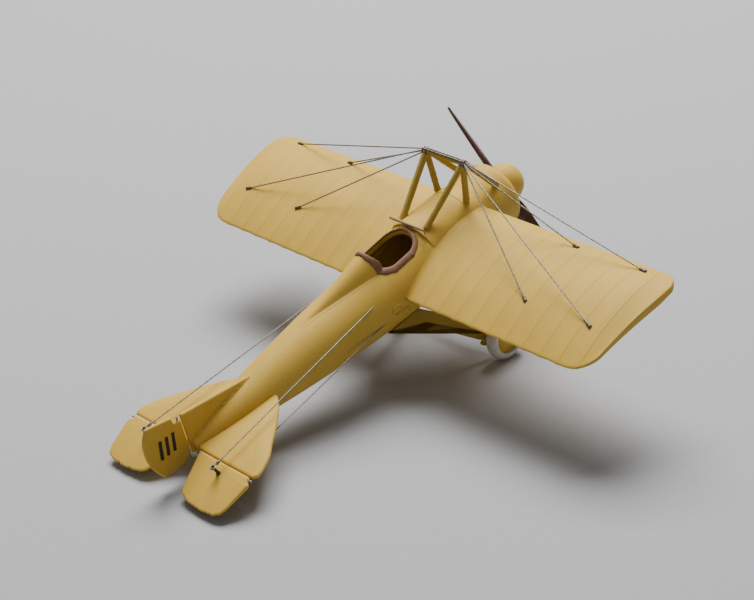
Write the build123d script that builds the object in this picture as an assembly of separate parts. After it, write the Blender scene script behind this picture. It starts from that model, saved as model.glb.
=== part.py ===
from build123d import *
import math
import os

# Small display model of an early racing monoplane: a round wooden hull, thin warped wings held by
# wires from a strut pylon, a two-blade propeller with a domed spinner, and a two-wheel undercarriage.
#
# Every piece is drawn in a flying frame: X forward along the thrust line, Y to port, Z up, with the
# origin on the thrust line below the wing's leading edge. At the end the whole model is tipped nose
# up until it stands on its two wheels and its tail skid. All sizes are in millimetres.

# ---- overall ----
HALF_SPAN = 47.1
CHORD = 22.8
GROUND_ANGLE = 16.0

# ---- hull: (x, radius, rise of its centre line) at each station ----
HULL_STATIONS = [(1.0, 6.1, 0.0), (-8.0, 6.5, 0.0), (-20.0, 6.4, 0.0), (-30.0, 5.95, 0.15),
                 (-40.0, 5.2, 0.45), (-50.0, 4.1, 0.85), (-60.0, 2.65, 1.2), (-65.7, 1.35, 1.3)]
HULL_NOSE_X = HULL_STATIONS[0][0]
HULL_TAIL_X = HULL_STATIONS[-1][0]
HULL_WALL = 0.8
CAVITY_TAIL_X = -58.0
DECK_REAR_X = -13.3
DECK_FRONT_X = -1.0
DECK_RADIUS = 5.9
DECK_REAR_RISE = 1.3
DECK_FRONT_RISE = 0.75

# ---- cowl, propeller and spinner ----
COWL_FRONT_X = 7.1
COWL_LIP_RADIUS = 4.6
COWL_ROUNDING = 1.6
COWL_WALL = 0.6
COWL_OPENING_RADIUS = 1.9
FIREWALL_THICKNESS = 1.2
BEARING_RADIUS = 1.3
SHAFT_RADIUS = 0.6
RUNNING_GAP = 0.05
PROPELLER_X = 8.5
PROPELLER_RADIUS = 16.6
PROPELLER_REST_ANGLE = 31.0
HUB_RADIUS = 1.6
HUB_LENGTH = 1.4
SPINNER_RADIUS = 3.5
SPINNER_CENTRE_X = 8.9
SPINNER_WALL = 0.5
BACKPLATE_X = 7.35
BACKPLATE_THICKNESS = 0.3

# ---- wing ----
LEADING_EDGE_Z = 2.75
TRAILING_EDGE_Z = 0.3
CAMBER = 0.075
TIP_CAMBER = 0.035
TIP_START = 42.0
THICKNESS = 0.048
TRAILING_THICKNESS = 0.3
TIP_RAKE = 1.5
TIP_LEADING_RADIUS = 3.6
TIP_TRAILING_RADIUS = 4.2

# ---- pylon over the hull ----
APEX = (-1.94, 4.25, 13.0)
FRONT_FOOT = (-2.7, 3.4, 5.4)
REAR_FOOT = (-12.0, 2.84, 5.9)
COWL_FOOT = (3.9, 4.1, 4.4)
LEG_WIDTH = 1.05
LEG_THICKNESS = 0.6
CROSSBAR_HEIGHT = 0.8
CROSSBAR_DEPTH = 0.8
CROSSBAR_OVERHANG = 0.6
WIRE_RADIUS = 0.16
SOCKET_RADIUS = 0.28
SOCKET_LENGTH = 0.9
WIRE_SPACING = 0.38

# each wing wire: chord fraction and distance out of its foot, then its place on the crossbar's end
WING_WIRES = {"front_outer": (0.08, 40.7, 1, 1), "front_inner": (0.09, 27.0, 1, -1),
              "rear_inner": (0.685, 27.3, -1, -1), "rear_outer": (0.685, 40.7, -1, 1)}

# ---- cockpit ----
COCKPIT_X = -19.0
COCKPIT_LENGTH = 9.4
COCKPIT_WIDTH = 7.0
COCKPIT_CORNER = 3.2
COAMING_WIDTH = 0.6
COAMING_HEIGHT = 0.35
HEADREST_FRONT_X = -23.0
HEADREST_TAIL_X = -40.6
HEADREST_HALF_WIDTH = 2.9
HEADREST_TOP_Z = 9.0
FLOOR_Z = -3.0
SEAT_X = -21.2
SEAT_Z = -0.3

# ---- tail ----
TAIL_Z = 1.2
TAIL_THICKNESS = 0.9
HINGE_X = -66.3
HINGE_GAP = 0.15
HINGE_PIN_RADIUS = 0.16
EAR_WIDTH = 0.45
EAR_RADIUS = 0.42
RUDDER_FOOT = (-66.9, 0.0, -0.35)
RUDDER_TILT = 3.9
RUDDER_HEIGHT = 8.9
ELEVATOR_DROOP = 14.0
HORN_X = -67.7
HORN_Y = 8.6
HORN_REACH = 2.55
HORN_RADIUS = 0.25
UPPER_RING_REACH = 2.15
LOWER_RING_REACH = -1.5
WIRE_RING_RADIUS = 0.55
WIRE_RING_SECTION = 0.13
CONTROL_UPPER_ENTRY = (-28.8, 5.2, 2.98)
CONTROL_LOWER_ENTRY = (-28.8, 5.9, -0.95)
CONTROL_INNER_LENGTH = 3.0
CONTROL_LINES = ((CONTROL_UPPER_ENTRY, UPPER_RING_REACH), (CONTROL_LOWER_ENTRY, LOWER_RING_REACH))

# ---- undercarriage ----
AXLE_X = -9.4
AXLE_Z = -15.9
AXLE_RADIUS = 0.35
WHEEL_Y = 11.9
TYRE_RADIUS = 4.3
TYRE_SECTION = 1.1
DISC_RADIUS = 3.0
FRAME_ROOT_Y = 4.4
FRAME_ROOT_Z = -4.2
FRAME_SPLAY = 25.2
FRAME_THICKNESS = 0.9
RAIL_HEIGHT = 1.5

BIG = 200.0


# ---------------------------------------------------------------- helpers
def biggest(shape):
    """The largest solid of a shape, dropping slivers that a trim leaves on the far side."""
    return max(shape.solids(), key=lambda solid: solid.volume)


def mirrored(shape):
    return mirror(shape, about=Plane.XZ)


def rod(start, end, radius):
    """A round rod between two points."""
    direction = Vector(*end) - Vector(*start)
    plane = Plane(origin=start, z_dir=direction)
    return extrude(plane * Circle(radius), direction.length)


def strip(start, end, width, thickness):
    """A flat strut with rounded edges, its broad side facing to port and starboard."""
    direction = Vector(*end) - Vector(*start)
    broad = Vector(0, 1, 0).cross(direction)
    plane = Plane(origin=start, x_dir=broad, z_dir=direction)
    return extrude(plane * SlotOverall(width, thickness), direction.length)


def turned(outline):
    """A solid turned about the thrust line from a closed outline in the X-Y plane."""
    return revolve(make_face(outline), Axis.X)


def hull_form(growth, nose_x, tail_x):
    """The hull's round form, grown or shrunk all over, between two stations."""
    sections = [Plane(origin=(x, 0, rise), x_dir=(0, 1, 0), z_dir=(-1, 0, 0)) * Circle(radius + growth)
                for x, radius, rise in HULL_STATIONS]
    slab = Pos((nose_x + tail_x) / 2, 0, 0) * Box(nose_x - tail_x, BIG, BIG)
    return loft(sections) & slab


def cockpit_prism(growth):
    """A tall block with the cockpit's plan outline, widened all round."""
    length = COCKPIT_LENGTH + 2 * growth
    width = COCKPIT_WIDTH + 2 * growth
    plan = Pos(COCKPIT_X, 0, 0) * RectangleRounded(length, width, COCKPIT_CORNER + growth)
    return extrude(plan, 15)


def headrest_form(growth):
    """The tapering hump behind the pilot's head."""
    base_z = 5.0
    height = HEADREST_TOP_Z - base_z + growth
    front = Plane(origin=(HEADREST_FRONT_X + growth, 0, base_z), x_dir=(0, 1, 0), z_dir=(-1, 0, 0))
    tail = Plane(origin=(HEADREST_TAIL_X, 0, base_z - 0.1), x_dir=(0, 1, 0), z_dir=(-1, 0, 0))
    return loft([front * Ellipse(HEADREST_HALF_WIDTH + growth, height), tail * Ellipse(0.25, 0.3)], ruled=True)


HULL = hull_form(0, HULL_NOSE_X, HULL_TAIL_X)


# ---------------------------------------------------------------- hull and cockpit
def hull_half():
    """Port half shell, split along the centre plane, with the cockpit and two wire holes cut out."""
    cavity = hull_form(-HULL_WALL, HULL_NOSE_X, CAVITY_TAIL_X)
    port_side = Box(BIG, BIG, BIG, align=(Align.CENTER, Align.MIN, Align.CENTER))
    shell = biggest((HULL & port_side) - cavity - cockpit_prism(0))
    for entry, reach in CONTROL_LINES:
        direction = control_line(entry, reach)[1]
        outside = Vector(*entry) - direction * 8
        inside = Vector(*entry) + direction * (CONTROL_INNER_LENGTH + 1)
        shell = shell - rod(outside, inside, WIRE_RADIUS + RUNNING_GAP)
    return biggest(shell)


def deck_panel():
    """Raised panel over the hull ahead of the cockpit, flush with the hull at its sides."""
    sections = [Plane(origin=(x, 0, rise), x_dir=(0, 1, 0), z_dir=(1, 0, 0)) * Circle(DECK_RADIUS)
                for x, rise in ((DECK_REAR_X, DECK_REAR_RISE), (DECK_FRONT_X, DECK_FRONT_RISE))]
    return biggest(loft(sections) - HULL)


def headrest_fairing():
    return biggest(headrest_form(0) - HULL - cockpit_prism(0))


def cockpit_coaming():
    """Padded strip round the cockpit, lying on the hull and over the headrest's front."""
    band = cockpit_prism(COAMING_WIDTH) - cockpit_prism(0)
    skin = hull_form(COAMING_HEIGHT, HULL_NOSE_X, HULL_TAIL_X) + headrest_form(COAMING_HEIGHT)
    return biggest((band & skin) - HULL - headrest_form(0))


def cockpit_floor():
    cavity = hull_form(-HULL_WALL, HULL_NOSE_X, CAVITY_TAIL_X)
    slab = Pos(COCKPIT_X, 0, FLOOR_Z - 0.3) * Box(18, BIG, 0.6)
    return biggest(cavity & slab)


def pilot_seat():
    """Seat pan on a pedestal, with an upright back."""
    pan = Pos(SEAT_X, 0, SEAT_Z - 0.3) * Box(4.4, 4.8, 0.6)
    pedestal_height = SEAT_Z - 0.6 - FLOOR_Z
    pedestal = Pos(SEAT_X, 0, FLOOR_Z + pedestal_height / 2) * Box(2.4, 2.4, pedestal_height)
    back = Pos(SEAT_X - 2.0, 0, SEAT_Z + 1.5) * Box(0.5, 4.8, 3.4)
    return pan + pedestal + back


def seat_pad():
    """Leather pad curled against the seat back."""
    arc = CenterArc((0, 0), 2.1, 110, 140)
    section = trace(arc, 0.45)
    return biggest(extrude(Pos(SEAT_X + 0.6, 0, SEAT_Z) * section, 4.1))


def windscreen():
    """Thin pane standing across the deck ahead of the cockpit, with a straight top edge."""
    pane = Pos(DECK_REAR_X - 0.15, 0, 6.3) * Box(0.22, 8.2, 2.2)
    return biggest(pane - HULL)


# ---------------------------------------------------------------- nose
def engine_cowl():
    """Cowl that carries the hull's line forward to a rounded front with an opening for the bearing."""
    root_radius = HULL_STATIONS[0][1]
    shoulder_x = COWL_FRONT_X - COWL_ROUNDING
    inner_radius = root_radius - COWL_WALL
    back_x = COWL_FRONT_X - COWL_WALL
    outer_curve = RadiusArc((shoulder_x, root_radius), (COWL_FRONT_X, COWL_LIP_RADIUS), COWL_ROUNDING * 1.05)
    front_face = Polyline((COWL_FRONT_X, COWL_LIP_RADIUS), (COWL_FRONT_X, COWL_OPENING_RADIUS),
                          (back_x, COWL_OPENING_RADIUS), (back_x, COWL_LIP_RADIUS - COWL_WALL))
    inner_curve = RadiusArc((back_x, COWL_LIP_RADIUS - COWL_WALL), (shoulder_x, inner_radius), -COWL_ROUNDING * 1.05)
    rear = Polyline((shoulder_x, inner_radius), (HULL_NOSE_X, inner_radius), (HULL_NOSE_X, root_radius),
                    (shoulder_x, root_radius))
    return turned([outer_curve, front_face, inner_curve, rear])


def firewall():
    """Bulkhead across the hull's mouth, with the propeller shaft's bearing tube."""
    cavity = hull_form(-HULL_WALL, HULL_NOSE_X, CAVITY_TAIL_X)
    slab = Pos(HULL_NOSE_X - FIREWALL_THICKNESS / 2, 0, 0) * Box(FIREWALL_THICKNESS, BIG, BIG)
    plate = cavity & slab
    tube = rod((HULL_NOSE_X, 0, 0), (COWL_FRONT_X - COWL_WALL, 0, 0), BEARING_RADIUS)
    bore = rod((-5, 0, 0), (COWL_FRONT_X, 0, 0), SHAFT_RADIUS + RUNNING_GAP)
    return plate + tube - bore


def propeller_shaft():
    """Shaft through the bearing, with a collar behind the firewall."""
    collar_x = HULL_NOSE_X - FIREWALL_THICKNESS - 0.2
    shaft = rod((collar_x, 0, 0), (PROPELLER_X + HUB_LENGTH / 2 + 1.0, 0, 0), SHAFT_RADIUS)
    collar = rod((collar_x - 1.0, 0, 0), (collar_x, 0, 0), SHAFT_RADIUS * 2)
    return shaft + collar


def propeller_blade():
    """One twisted blade standing up from the hub, given as (radius, chord, thickness, pitch angle)."""
    stations = [(0.8, 1.4, 1.1, 58), (2.6, 1.5, 1.0, 57), (4.5, 2.2, 0.85, 55), (7.0, 2.5, 0.72, 52),
                (10.0, 2.4, 0.62, 50), (12.8, 2.1, 0.52, 48), (15.2, 1.6, 0.42, 46),
                (PROPELLER_RADIUS, 0.8, 0.3, 45)]
    sections = []
    for radius, chord, thickness, pitch in stations:
        angle = math.radians(pitch)
        chordwise = (math.sin(angle), math.cos(angle), 0)
        plane = Plane(origin=(0, 0, radius), x_dir=chordwise, z_dir=(0, 0, 1))
        sections.append(plane * Ellipse(chord / 2, thickness / 2))
    return loft(sections, ruled=True)


def propeller():
    hub = rod((-HUB_LENGTH / 2, 0, 0), (HUB_LENGTH / 2, 0, 0), HUB_RADIUS)
    blade = propeller_blade()
    both = hub + blade + Rot(180, 0, 0) * blade
    shaft_hole = rod((-HUB_LENGTH, 0, 0), (HUB_LENGTH, 0, 0), SHAFT_RADIUS)
    return Pos(PROPELLER_X, 0, 0) * Rot(-PROPELLER_REST_ANGLE, 0, 0) * (both - shaft_hole)


def spinner_slab(start_x, end_x):
    return Pos((start_x + end_x) / 2, 0, 0) * Box(end_x - start_x, BIG, BIG)


def spinner_backplate():
    """Disc that closes the back of the spinner's ball."""
    ball = Pos(SPINNER_CENTRE_X, 0, 0) * Sphere(SPINNER_RADIUS)
    plate = ball & spinner_slab(BACKPLATE_X, BACKPLATE_X + BACKPLATE_THICKNESS)
    return plate - rod((0, 0, 0), (20, 0, 0), SHAFT_RADIUS)


def spinner_dome(blades):
    """Hollow ball in front of the backplate, with a slot for each blade."""
    base_x = BACKPLATE_X + BACKPLATE_THICKNESS

    def quarter(radius):
        start = math.degrees(math.acos((base_x - SPINNER_CENTRE_X) / radius))
        return CenterArc((SPINNER_CENTRE_X, 0), radius, 0, start)

    outer = quarter(SPINNER_RADIUS)
    inner = quarter(SPINNER_RADIUS - SPINNER_WALL)
    shell = turned([outer, Line(outer @ 1, inner @ 1), inner, Line(inner @ 0, outer @ 0)])
    return biggest(shell - blades)


# ---------------------------------------------------------------- wing
def mean_line_z(fraction, camber=CAMBER):
    """Height of the wing's mean line at a fraction of the chord behind the leading edge."""
    straight = LEADING_EDGE_Z + (TRAILING_EDGE_Z - LEADING_EDGE_Z) * fraction
    return straight + 4 * camber * CHORD * fraction * (1 - fraction)


def half_thickness(fraction):
    """Half the wing's thickness: a round nose, thinning to a blunt trailing edge."""
    rounded = 5 * THICKNESS * CHORD * (0.2969 * math.sqrt(fraction) - 0.126 * fraction
                                       - 0.3516 * fraction ** 2 + 0.2843 * fraction ** 3
                                       - 0.1015 * fraction ** 4)
    return rounded + TRAILING_THICKNESS / 2 * fraction


def wing_surface_point(fraction, y):
    return (-CHORD * fraction, y, mean_line_z(fraction) + half_thickness(fraction))


def wing_section(y, camber):
    """The wing's section as a face at a distance out from the centre plane."""
    fractions = [0, 0.015, 0.06, 0.14, 0.28, 0.45, 0.65, 0.85, 1]
    upper = [(-CHORD * f, y, mean_line_z(f, camber) + half_thickness(f)) for f in fractions]
    lower = [(-CHORD * f, y, mean_line_z(f, camber) - half_thickness(f)) for f in fractions]
    return make_face([Spline(*upper), Line(upper[-1], lower[-1]), Spline(*lower[::-1])])


def wing():
    """Port wing: one section run out to the tip panel, which flattens towards a raked, rounded end."""
    root_y = 2.0
    inner = extrude(wing_section(root_y, CAMBER), TIP_START - root_y, dir=(0, 1, 0))
    tip = loft([wing_section(TIP_START, CAMBER), wing_section(HALF_SPAN, TIP_CAMBER)], ruled=True)
    blank = inner + tip
    leading_corner = (0.4, HALF_SPAN)
    trailing_corner = (-CHORD - 0.4, HALF_SPAN - TIP_RAKE)
    plan = make_face(Polyline((0.4, 0), leading_corner, trailing_corner, (-CHORD - 0.4, 0), close=True))
    for corner, radius in ((leading_corner, TIP_LEADING_RADIUS), (trailing_corner, TIP_TRAILING_RADIUS)):
        plan = fillet(plan.vertices().sort_by_distance((*corner, 0))[0], radius)
    outline = Pos(0, 0, -20) * extrude(plan, 40)
    return biggest((blank & outline) - HULL - deck_panel())


# ---------------------------------------------------------------- pylon and rigging
def crossbar():
    """Bar joining the two apexes of the pylon."""
    length = 2 * (APEX[1] + CROSSBAR_OVERHANG)
    height_z = APEX[2] + CROSSBAR_HEIGHT / 2
    return Pos(APEX[0], 0, height_z) * Box(CROSSBAR_DEPTH, length, CROSSBAR_HEIGHT)


def pylon_struts():
    """The port side's three struts, from the crossbar down to the deck and the cowl."""
    above = Pos(0, 0, APEX[2] + 10) * Box(BIG, BIG, 20)
    body = HULL + deck_panel()
    top = (APEX[0], APEX[1], APEX[2] + 0.5)
    front = strip(FRONT_FOOT, top, LEG_WIDTH, LEG_THICKNESS) - body - above
    rear = strip(REAR_FOOT, top, LEG_WIDTH, LEG_THICKNESS) - body - above - front
    forward = strip(COWL_FOOT, top, LEG_WIDTH * 0.9, LEG_THICKNESS * 0.9) - body - engine_cowl() - above
    forward = forward - front - rear
    return biggest(front), biggest(rear), biggest(forward)


def wing_wires(wing_solid, bar):
    """Four wires on the port side, from the crossbar's end to sockets on the wing."""
    end_y = APEX[1] + CROSSBAR_OVERHANG
    middle_z = APEX[2] + CROSSBAR_HEIGHT / 2
    wires = []
    sockets = []
    for fraction, y, ahead, above in WING_WIRES.values():
        foot = Vector(*wing_surface_point(fraction, y))
        step = WIRE_SPACING / 2
        top = Vector(APEX[0] + ahead * step, end_y - 0.2, middle_z + above * step)
        slope = (top - foot).normalized()
        sunk = foot - slope * 0.4
        wire = rod(sunk, top, WIRE_RADIUS) - wing_solid - bar
        socket = rod(sunk, foot + slope * SOCKET_LENGTH, SOCKET_RADIUS) - wing_solid
        socket = socket - rod(sunk - slope, foot + slope * 3, WIRE_RADIUS)
        wires.append(biggest(wire))
        sockets.append(biggest(socket))
    return wires, sockets


def crossbar_wires():
    """Two wires lying along the top of the crossbar."""
    half = APEX[1] + 0.4
    top_z = APEX[2] + CROSSBAR_HEIGHT + WIRE_RADIUS
    return [rod((APEX[0] + dx, -half, top_z), (APEX[0] + dx, half, top_z), WIRE_RADIUS)
            for dx in (-0.18, 0.18)]


# ---------------------------------------------------------------- tail
def stabiliser():
    """Port half of the fixed tailplane, with two ears that carry the elevator's pin."""
    rear_x = HINGE_X + TAIL_THICKNESS / 2 + HINGE_GAP
    leading = Spline((-48.5, 1.0), (-50.4, 4.1), (-54.2, 8.1), (-58.7, 11.6), (-62.6, 14.3))
    tip = ThreePointArc(leading @ 1, (-64.2, 14.95), (rear_x, 15.15))
    inner = Polyline((rear_x, 15.15), (rear_x, 0.6), (-48.5, 0.6), (-48.5, 1.0))
    panel = extrude(make_face([leading, tip, inner]), TAIL_THICKNESS / 2, both=True)
    panel = Pos(0, 0, TAIL_Z) * panel
    ears = []
    for y in (1.95, 14.65):
        ear = rod((HINGE_X, y - EAR_WIDTH / 2, TAIL_Z), (HINGE_X, y + EAR_WIDTH / 2, TAIL_Z), EAR_RADIUS)
        root = Pos((HINGE_X + rear_x) / 2, y, TAIL_Z) * Box(rear_x - HINGE_X, EAR_WIDTH, EAR_RADIUS)
        ears.append(ear + root)
    pin_hole = elevator_pin()
    rudder_room = Pos(HINGE_X, 0, 0) * Box(4, 2 * 0.85, 10)
    return biggest(panel + ears[0] + ears[1] - pin_hole - HULL - rudder_room)


def elevator_pin():
    return rod((HINGE_X, 1.75, TAIL_Z), (HINGE_X, 14.85, TAIL_Z), HINGE_PIN_RADIUS)


def drooped(shape):
    """Turns a shape drawn level with the tailplane down to the elevator's resting angle."""
    hinge = Pos(HINGE_X, 0, TAIL_Z)
    return hinge * Rot(0, -ELEVATOR_DROOP, 0) * Pos(-HINGE_X, 0, -TAIL_Z) * shape


def elevator():
    """Port elevator: a panel with a round nose turning about the hinge pin."""
    root_y = 2.3
    tip_y = 14.3
    inner = Line((HINGE_X, root_y), (-72.1, 4.1))
    inner_corner = ThreePointArc((-72.1, 4.1), (-73.3, 4.8), (-73.9, 6.2))
    trailing = ThreePointArc((-73.9, 6.2), (-74.3, 9.6), (-74.1, 12.4))
    outer_corner = ThreePointArc((-74.1, 12.4), (-73.5, 13.7), (-72.2, 14.3))
    outer = Polyline((-72.2, 14.3), (-67.2, 15.0), (HINGE_X, 15.0), (HINGE_X, root_y))
    outline = make_face([inner, inner_corner, trailing, outer_corner, outer])
    panel = Pos(0, 0, TAIL_Z) * extrude(outline, TAIL_THICKNESS / 2, both=True)
    nose = rod((HINGE_X, root_y, TAIL_Z), (HINGE_X, tip_y, TAIL_Z), TAIL_THICKNESS / 2)
    bore = rod((HINGE_X, 0, TAIL_Z), (HINGE_X, 20, TAIL_Z), HINGE_PIN_RADIUS + RUNNING_GAP)
    ear_room = rod((HINGE_X, tip_y, TAIL_Z), (HINGE_X, 20, TAIL_Z), EAR_RADIUS + HINGE_GAP)
    return drooped(biggest(panel + nose - bore - ear_room))


def elevator_horn():
    """Upright peg through the elevator, one end above and one below, for its two wires."""
    surface = TAIL_THICKNESS / 2
    upper = rod((HORN_X, HORN_Y, TAIL_Z + surface), (HORN_X, HORN_Y, TAIL_Z + HORN_REACH), HORN_RADIUS)
    lower = rod((HORN_X, HORN_Y, TAIL_Z - surface), (HORN_X, HORN_Y, TAIL_Z - HORN_REACH), HORN_RADIUS)
    return Compound([drooped(upper), drooped(lower)])


def control_line(entry, reach):
    """Centre of a control wire's ring on the horn, and the unit direction to the hull's hole."""
    ring = drooped(Vertex(HORN_X, HORN_Y, TAIL_Z + reach)).center()
    return ring, (Vector(*entry) - ring).normalized()


def control_wire(entry, reach):
    """A straight wire from a ring round the horn into the hull."""
    ring_centre, direction = control_line(entry, reach)
    ring = Pos(*ring_centre) * Torus(WIRE_RING_RADIUS, WIRE_RING_SECTION)
    start = ring_centre + direction * WIRE_RING_RADIUS
    end = Vector(*entry) + direction * CONTROL_INNER_LENGTH
    return biggest(ring + rod(start, end, WIRE_RADIUS))


def rudder_frame(shape):
    """Moves a shape drawn about an upright hinge at the origin onto the rudder's hinge."""
    return Pos(*RUDDER_FOOT) * Rot(0, RUDDER_TILT, 0) * shape


def upright_panel(edges, thickness):
    """A flat upright panel from a closed outline of edges in the X-Z plane."""
    return extrude(make_face(edges), thickness / 2, both=True)


def rudder_pin():
    return rudder_frame(rod((0, 0, -0.1), (0, 0, RUDDER_HEIGHT - 0.4), HINGE_PIN_RADIUS))


def fin():
    """Fixed fin, rising from the hull to the rudder's hinge, with an ear near its top."""
    rear = TAIL_THICKNESS / 2 + HINGE_GAP
    top = rudder_frame(Vertex(rear, 0, RUDDER_HEIGHT - 0.4)).center()
    foot = rudder_frame(Vertex(rear, 0, 0.4)).center()
    edges = Polyline((-50.0, 0, 3.6), (-51.2, 0, 4.75), tuple(top), tuple(foot), (-60, 0, 0.4), close=True)
    panel = upright_panel(edges, TAIL_THICKNESS)
    ears = []
    for z in (0.35, RUDDER_HEIGHT - 0.65):
        ear = rod((0, 0, z - EAR_WIDTH / 2), (0, 0, z + EAR_WIDTH / 2), EAR_RADIUS)
        root = Pos(rear / 2, 0, z) * Box(rear + 0.1, EAR_RADIUS, EAR_WIDTH)
        ears.append(rudder_frame(ear + root))
    return biggest(panel + ears[0] + ears[1] - rudder_pin() - HULL)


def rudder():
    """Rudder with a round nose, a raked top and a bulging rear edge."""
    foot_z = 0.75
    shoulder_z = RUDDER_HEIGHT - 1.05
    top = Line((-1.1, 0, RUDDER_HEIGHT + 0.25), (-5.9, 0, 10.3))
    rear = Spline((-5.9, 0, 10.3), (-6.9, 0, 8.7), (-7.45, 0, 6.2), (-7.1, 0, 3.3), (-5.4, 0, -0.2))
    base = Polyline((-5.4, 0, -0.2), (-1.1, 0, 0.0), (-1.1, 0, foot_z), (0, 0, foot_z),
                    (0, 0, shoulder_z), (-1.1, 0, shoulder_z), (-1.1, 0, RUDDER_HEIGHT + 0.25))
    panel = upright_panel([top, rear, base], TAIL_THICKNESS)
    nose = rod((0, 0, foot_z), (0, 0, shoulder_z), TAIL_THICKNESS / 2)
    bore = rod((0, 0, -1), (0, 0, 10), HINGE_PIN_RADIUS + RUNNING_GAP)
    return rudder_frame(biggest(panel + nose - bore))


# ---------------------------------------------------------------- undercarriage
def frame_point(x, drop):
    """A point of the port leg frame, which leans outwards as it drops from the hull."""
    angle = math.radians(FRAME_SPLAY)
    return (x, FRAME_ROOT_Y + drop * math.sin(angle), FRAME_ROOT_Z - drop * math.cos(angle))


def frame_panel(points):
    """A plank of the leg frame from points given as (x, drop)."""
    face = make_face(Polyline(*[frame_point(x, drop) for x, drop in points], close=True))
    return extrude(face, FRAME_THICKNESS / 2, both=True)


def leg_frame():
    """Port undercarriage frame: a rear leg flared at its root, a front leg and a bottom rail."""
    angle = math.radians(FRAME_SPLAY)
    axle_drop = (FRAME_ROOT_Z - AXLE_Z) / math.cos(angle)
    rail_top = axle_drop - RAIL_HEIGHT / 2
    rail_bottom = axle_drop + RAIL_HEIGHT / 2
    rail = frame_panel([(-13.2, rail_top), (-5.6, rail_top), (-5.0, rail_top + 0.5),
                        (-6.2, rail_bottom), (-12.4, rail_bottom), (-13.6, rail_top + 0.6)])
    axle_rod = axle()
    rear = frame_panel([(-27.6, -1.2), (-27.2, 0.0), (-20.3, 3.1), (-16.0, 8.6), (-12.9, rail_top),
                        (-10.7, rail_top), (-13.9, 8.2), (-17.6, 2.6), (-20.5, -1.2)])
    front = frame_panel([(-4.4, -1.2), (-1.9, -1.2), (-5.7, rail_top), (-7.9, rail_top)])
    return biggest(front - HULL), biggest(rear - HULL), rail - axle_rod


def axle():
    half = WHEEL_Y + 1.5
    return rod((AXLE_X, -half, AXLE_Z), (AXLE_X, half, AXLE_Z), AXLE_RADIUS)


def axle_ring(y, width, radius):
    ring = rod((AXLE_X, y - width / 2, AXLE_Z), (AXLE_X, y + width / 2, AXLE_Z), radius)
    return ring - axle()


def axle_bindings():
    """Shock-cord wraps on the axle, two inboard of each rail."""
    return [axle_ring(side * y, 0.6, 0.75) for side in (1, -1) for y in (7.6, 8.7)]


def axle_caps():
    return [axle_ring(side * (WHEEL_Y + 1.15), 0.5, 0.65) for side in (1, -1)]


def wheel_disc():
    """Dished wheel cover, thick at the hub and thin at the rim, with a running bore."""
    hub_half = 0.8
    rim_half = 0.4
    outline = Polyline((0, -hub_half), (0.9, -hub_half), (DISC_RADIUS, -rim_half),
                       (DISC_RADIUS, rim_half), (0.9, hub_half), (0, hub_half), close=True)
    solid = revolve(make_face(outline), Axis.Y)
    bore = Rot(90, 0, 0) * Cylinder(AXLE_RADIUS + RUNNING_GAP, 4)
    return Pos(AXLE_X, WHEEL_Y, AXLE_Z) * (solid - bore)


def tyre():
    ring = Rot(90, 0, 0) * Torus(TYRE_RADIUS - TYRE_SECTION, TYRE_SECTION)
    seat = Rot(90, 0, 0) * Cylinder(DISC_RADIUS, 4)
    return Pos(AXLE_X, WHEEL_Y, AXLE_Z) * (ring - seat)


def ground_offset():
    """Height of the thrust line's origin above the ground once the model stands."""
    angle = math.radians(GROUND_ANGLE)
    return TYRE_RADIUS - (AXLE_X * math.sin(angle) + AXLE_Z * math.cos(angle))


def tail_skid():
    """Short skid under the tail, cut flat where it rests on the ground."""
    outline = Polyline((-58.2, 0, -1.2), (-61.4, 0, -0.8), (-64.2, 0, -6.4), (-62.2, 0, -7.2), close=True)
    blade = upright_panel(outline, 1.0) - HULL
    below = Rot(0, GROUND_ANGLE, 0) * Pos(0, 0, -ground_offset() - 20) * Box(BIG, BIG, 40)
    return biggest(blade - below)


# ---------------------------------------------------------------- assembly
def build_parts():
    parts = {}

    def add(name, shape):
        parts[name] = shape

    def add_pair(name, shape):
        add(name + "_port", shape)
        add(name + "_starboard", mirrored(shape))

    add_pair("fuselage_half", hull_half())
    add("deck_panel", deck_panel())
    add("headrest_fairing", headrest_fairing())
    add("cockpit_coaming", cockpit_coaming())
    add("cockpit_floor", cockpit_floor())
    add("pilot_seat", pilot_seat())
    add("seat_pad", seat_pad())
    add("windscreen", windscreen())

    add("engine_cowl", engine_cowl())
    add("firewall", firewall())
    add("propeller_shaft", propeller_shaft())
    blades = propeller()
    add("propeller", blades)
    add("spinner_backplate", spinner_backplate())
    add("spinner_dome", spinner_dome(blades))

    port_wing = wing()
    add_pair("wing", port_wing)

    bar = crossbar()
    front, rear, forward = pylon_struts()
    add("pylon_crossbar", bar)
    add_pair("pylon_front_strut", front)
    add_pair("pylon_rear_strut", rear)
    add_pair("pylon_forward_strut", forward)
    wires, sockets = wing_wires(port_wing, bar)
    add_pair("wing_wires", Compound(wires))
    add("wing_wire_sockets", Compound(sockets + [mirrored(socket) for socket in sockets]))
    add("crossbar_wires", Compound(crossbar_wires()))

    add_pair("stabiliser", stabiliser())
    add_pair("elevator", elevator())
    add_pair("elevator_pin", elevator_pin())
    add_pair("elevator_horn", elevator_horn())
    add_pair("elevator_wire_upper", control_wire(CONTROL_UPPER_ENTRY, UPPER_RING_REACH))
    add_pair("elevator_wire_lower", control_wire(CONTROL_LOWER_ENTRY, LOWER_RING_REACH))
    add("fin", fin())
    add("rudder", rudder())
    add("rudder_pin", rudder_pin())
    add("tail_skid", tail_skid())

    front_leg, rear_leg, rail = leg_frame()
    add_pair("gear_front_leg", front_leg)
    add_pair("gear_rear_leg", rear_leg)
    add_pair("gear_rail", rail)
    add("axle", axle())
    add("axle_bindings", Compound(axle_bindings()))
    add("axle_caps", Compound(axle_caps()))
    add_pair("wheel_disc", wheel_disc())
    add_pair("tyre", tyre())
    return parts


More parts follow.
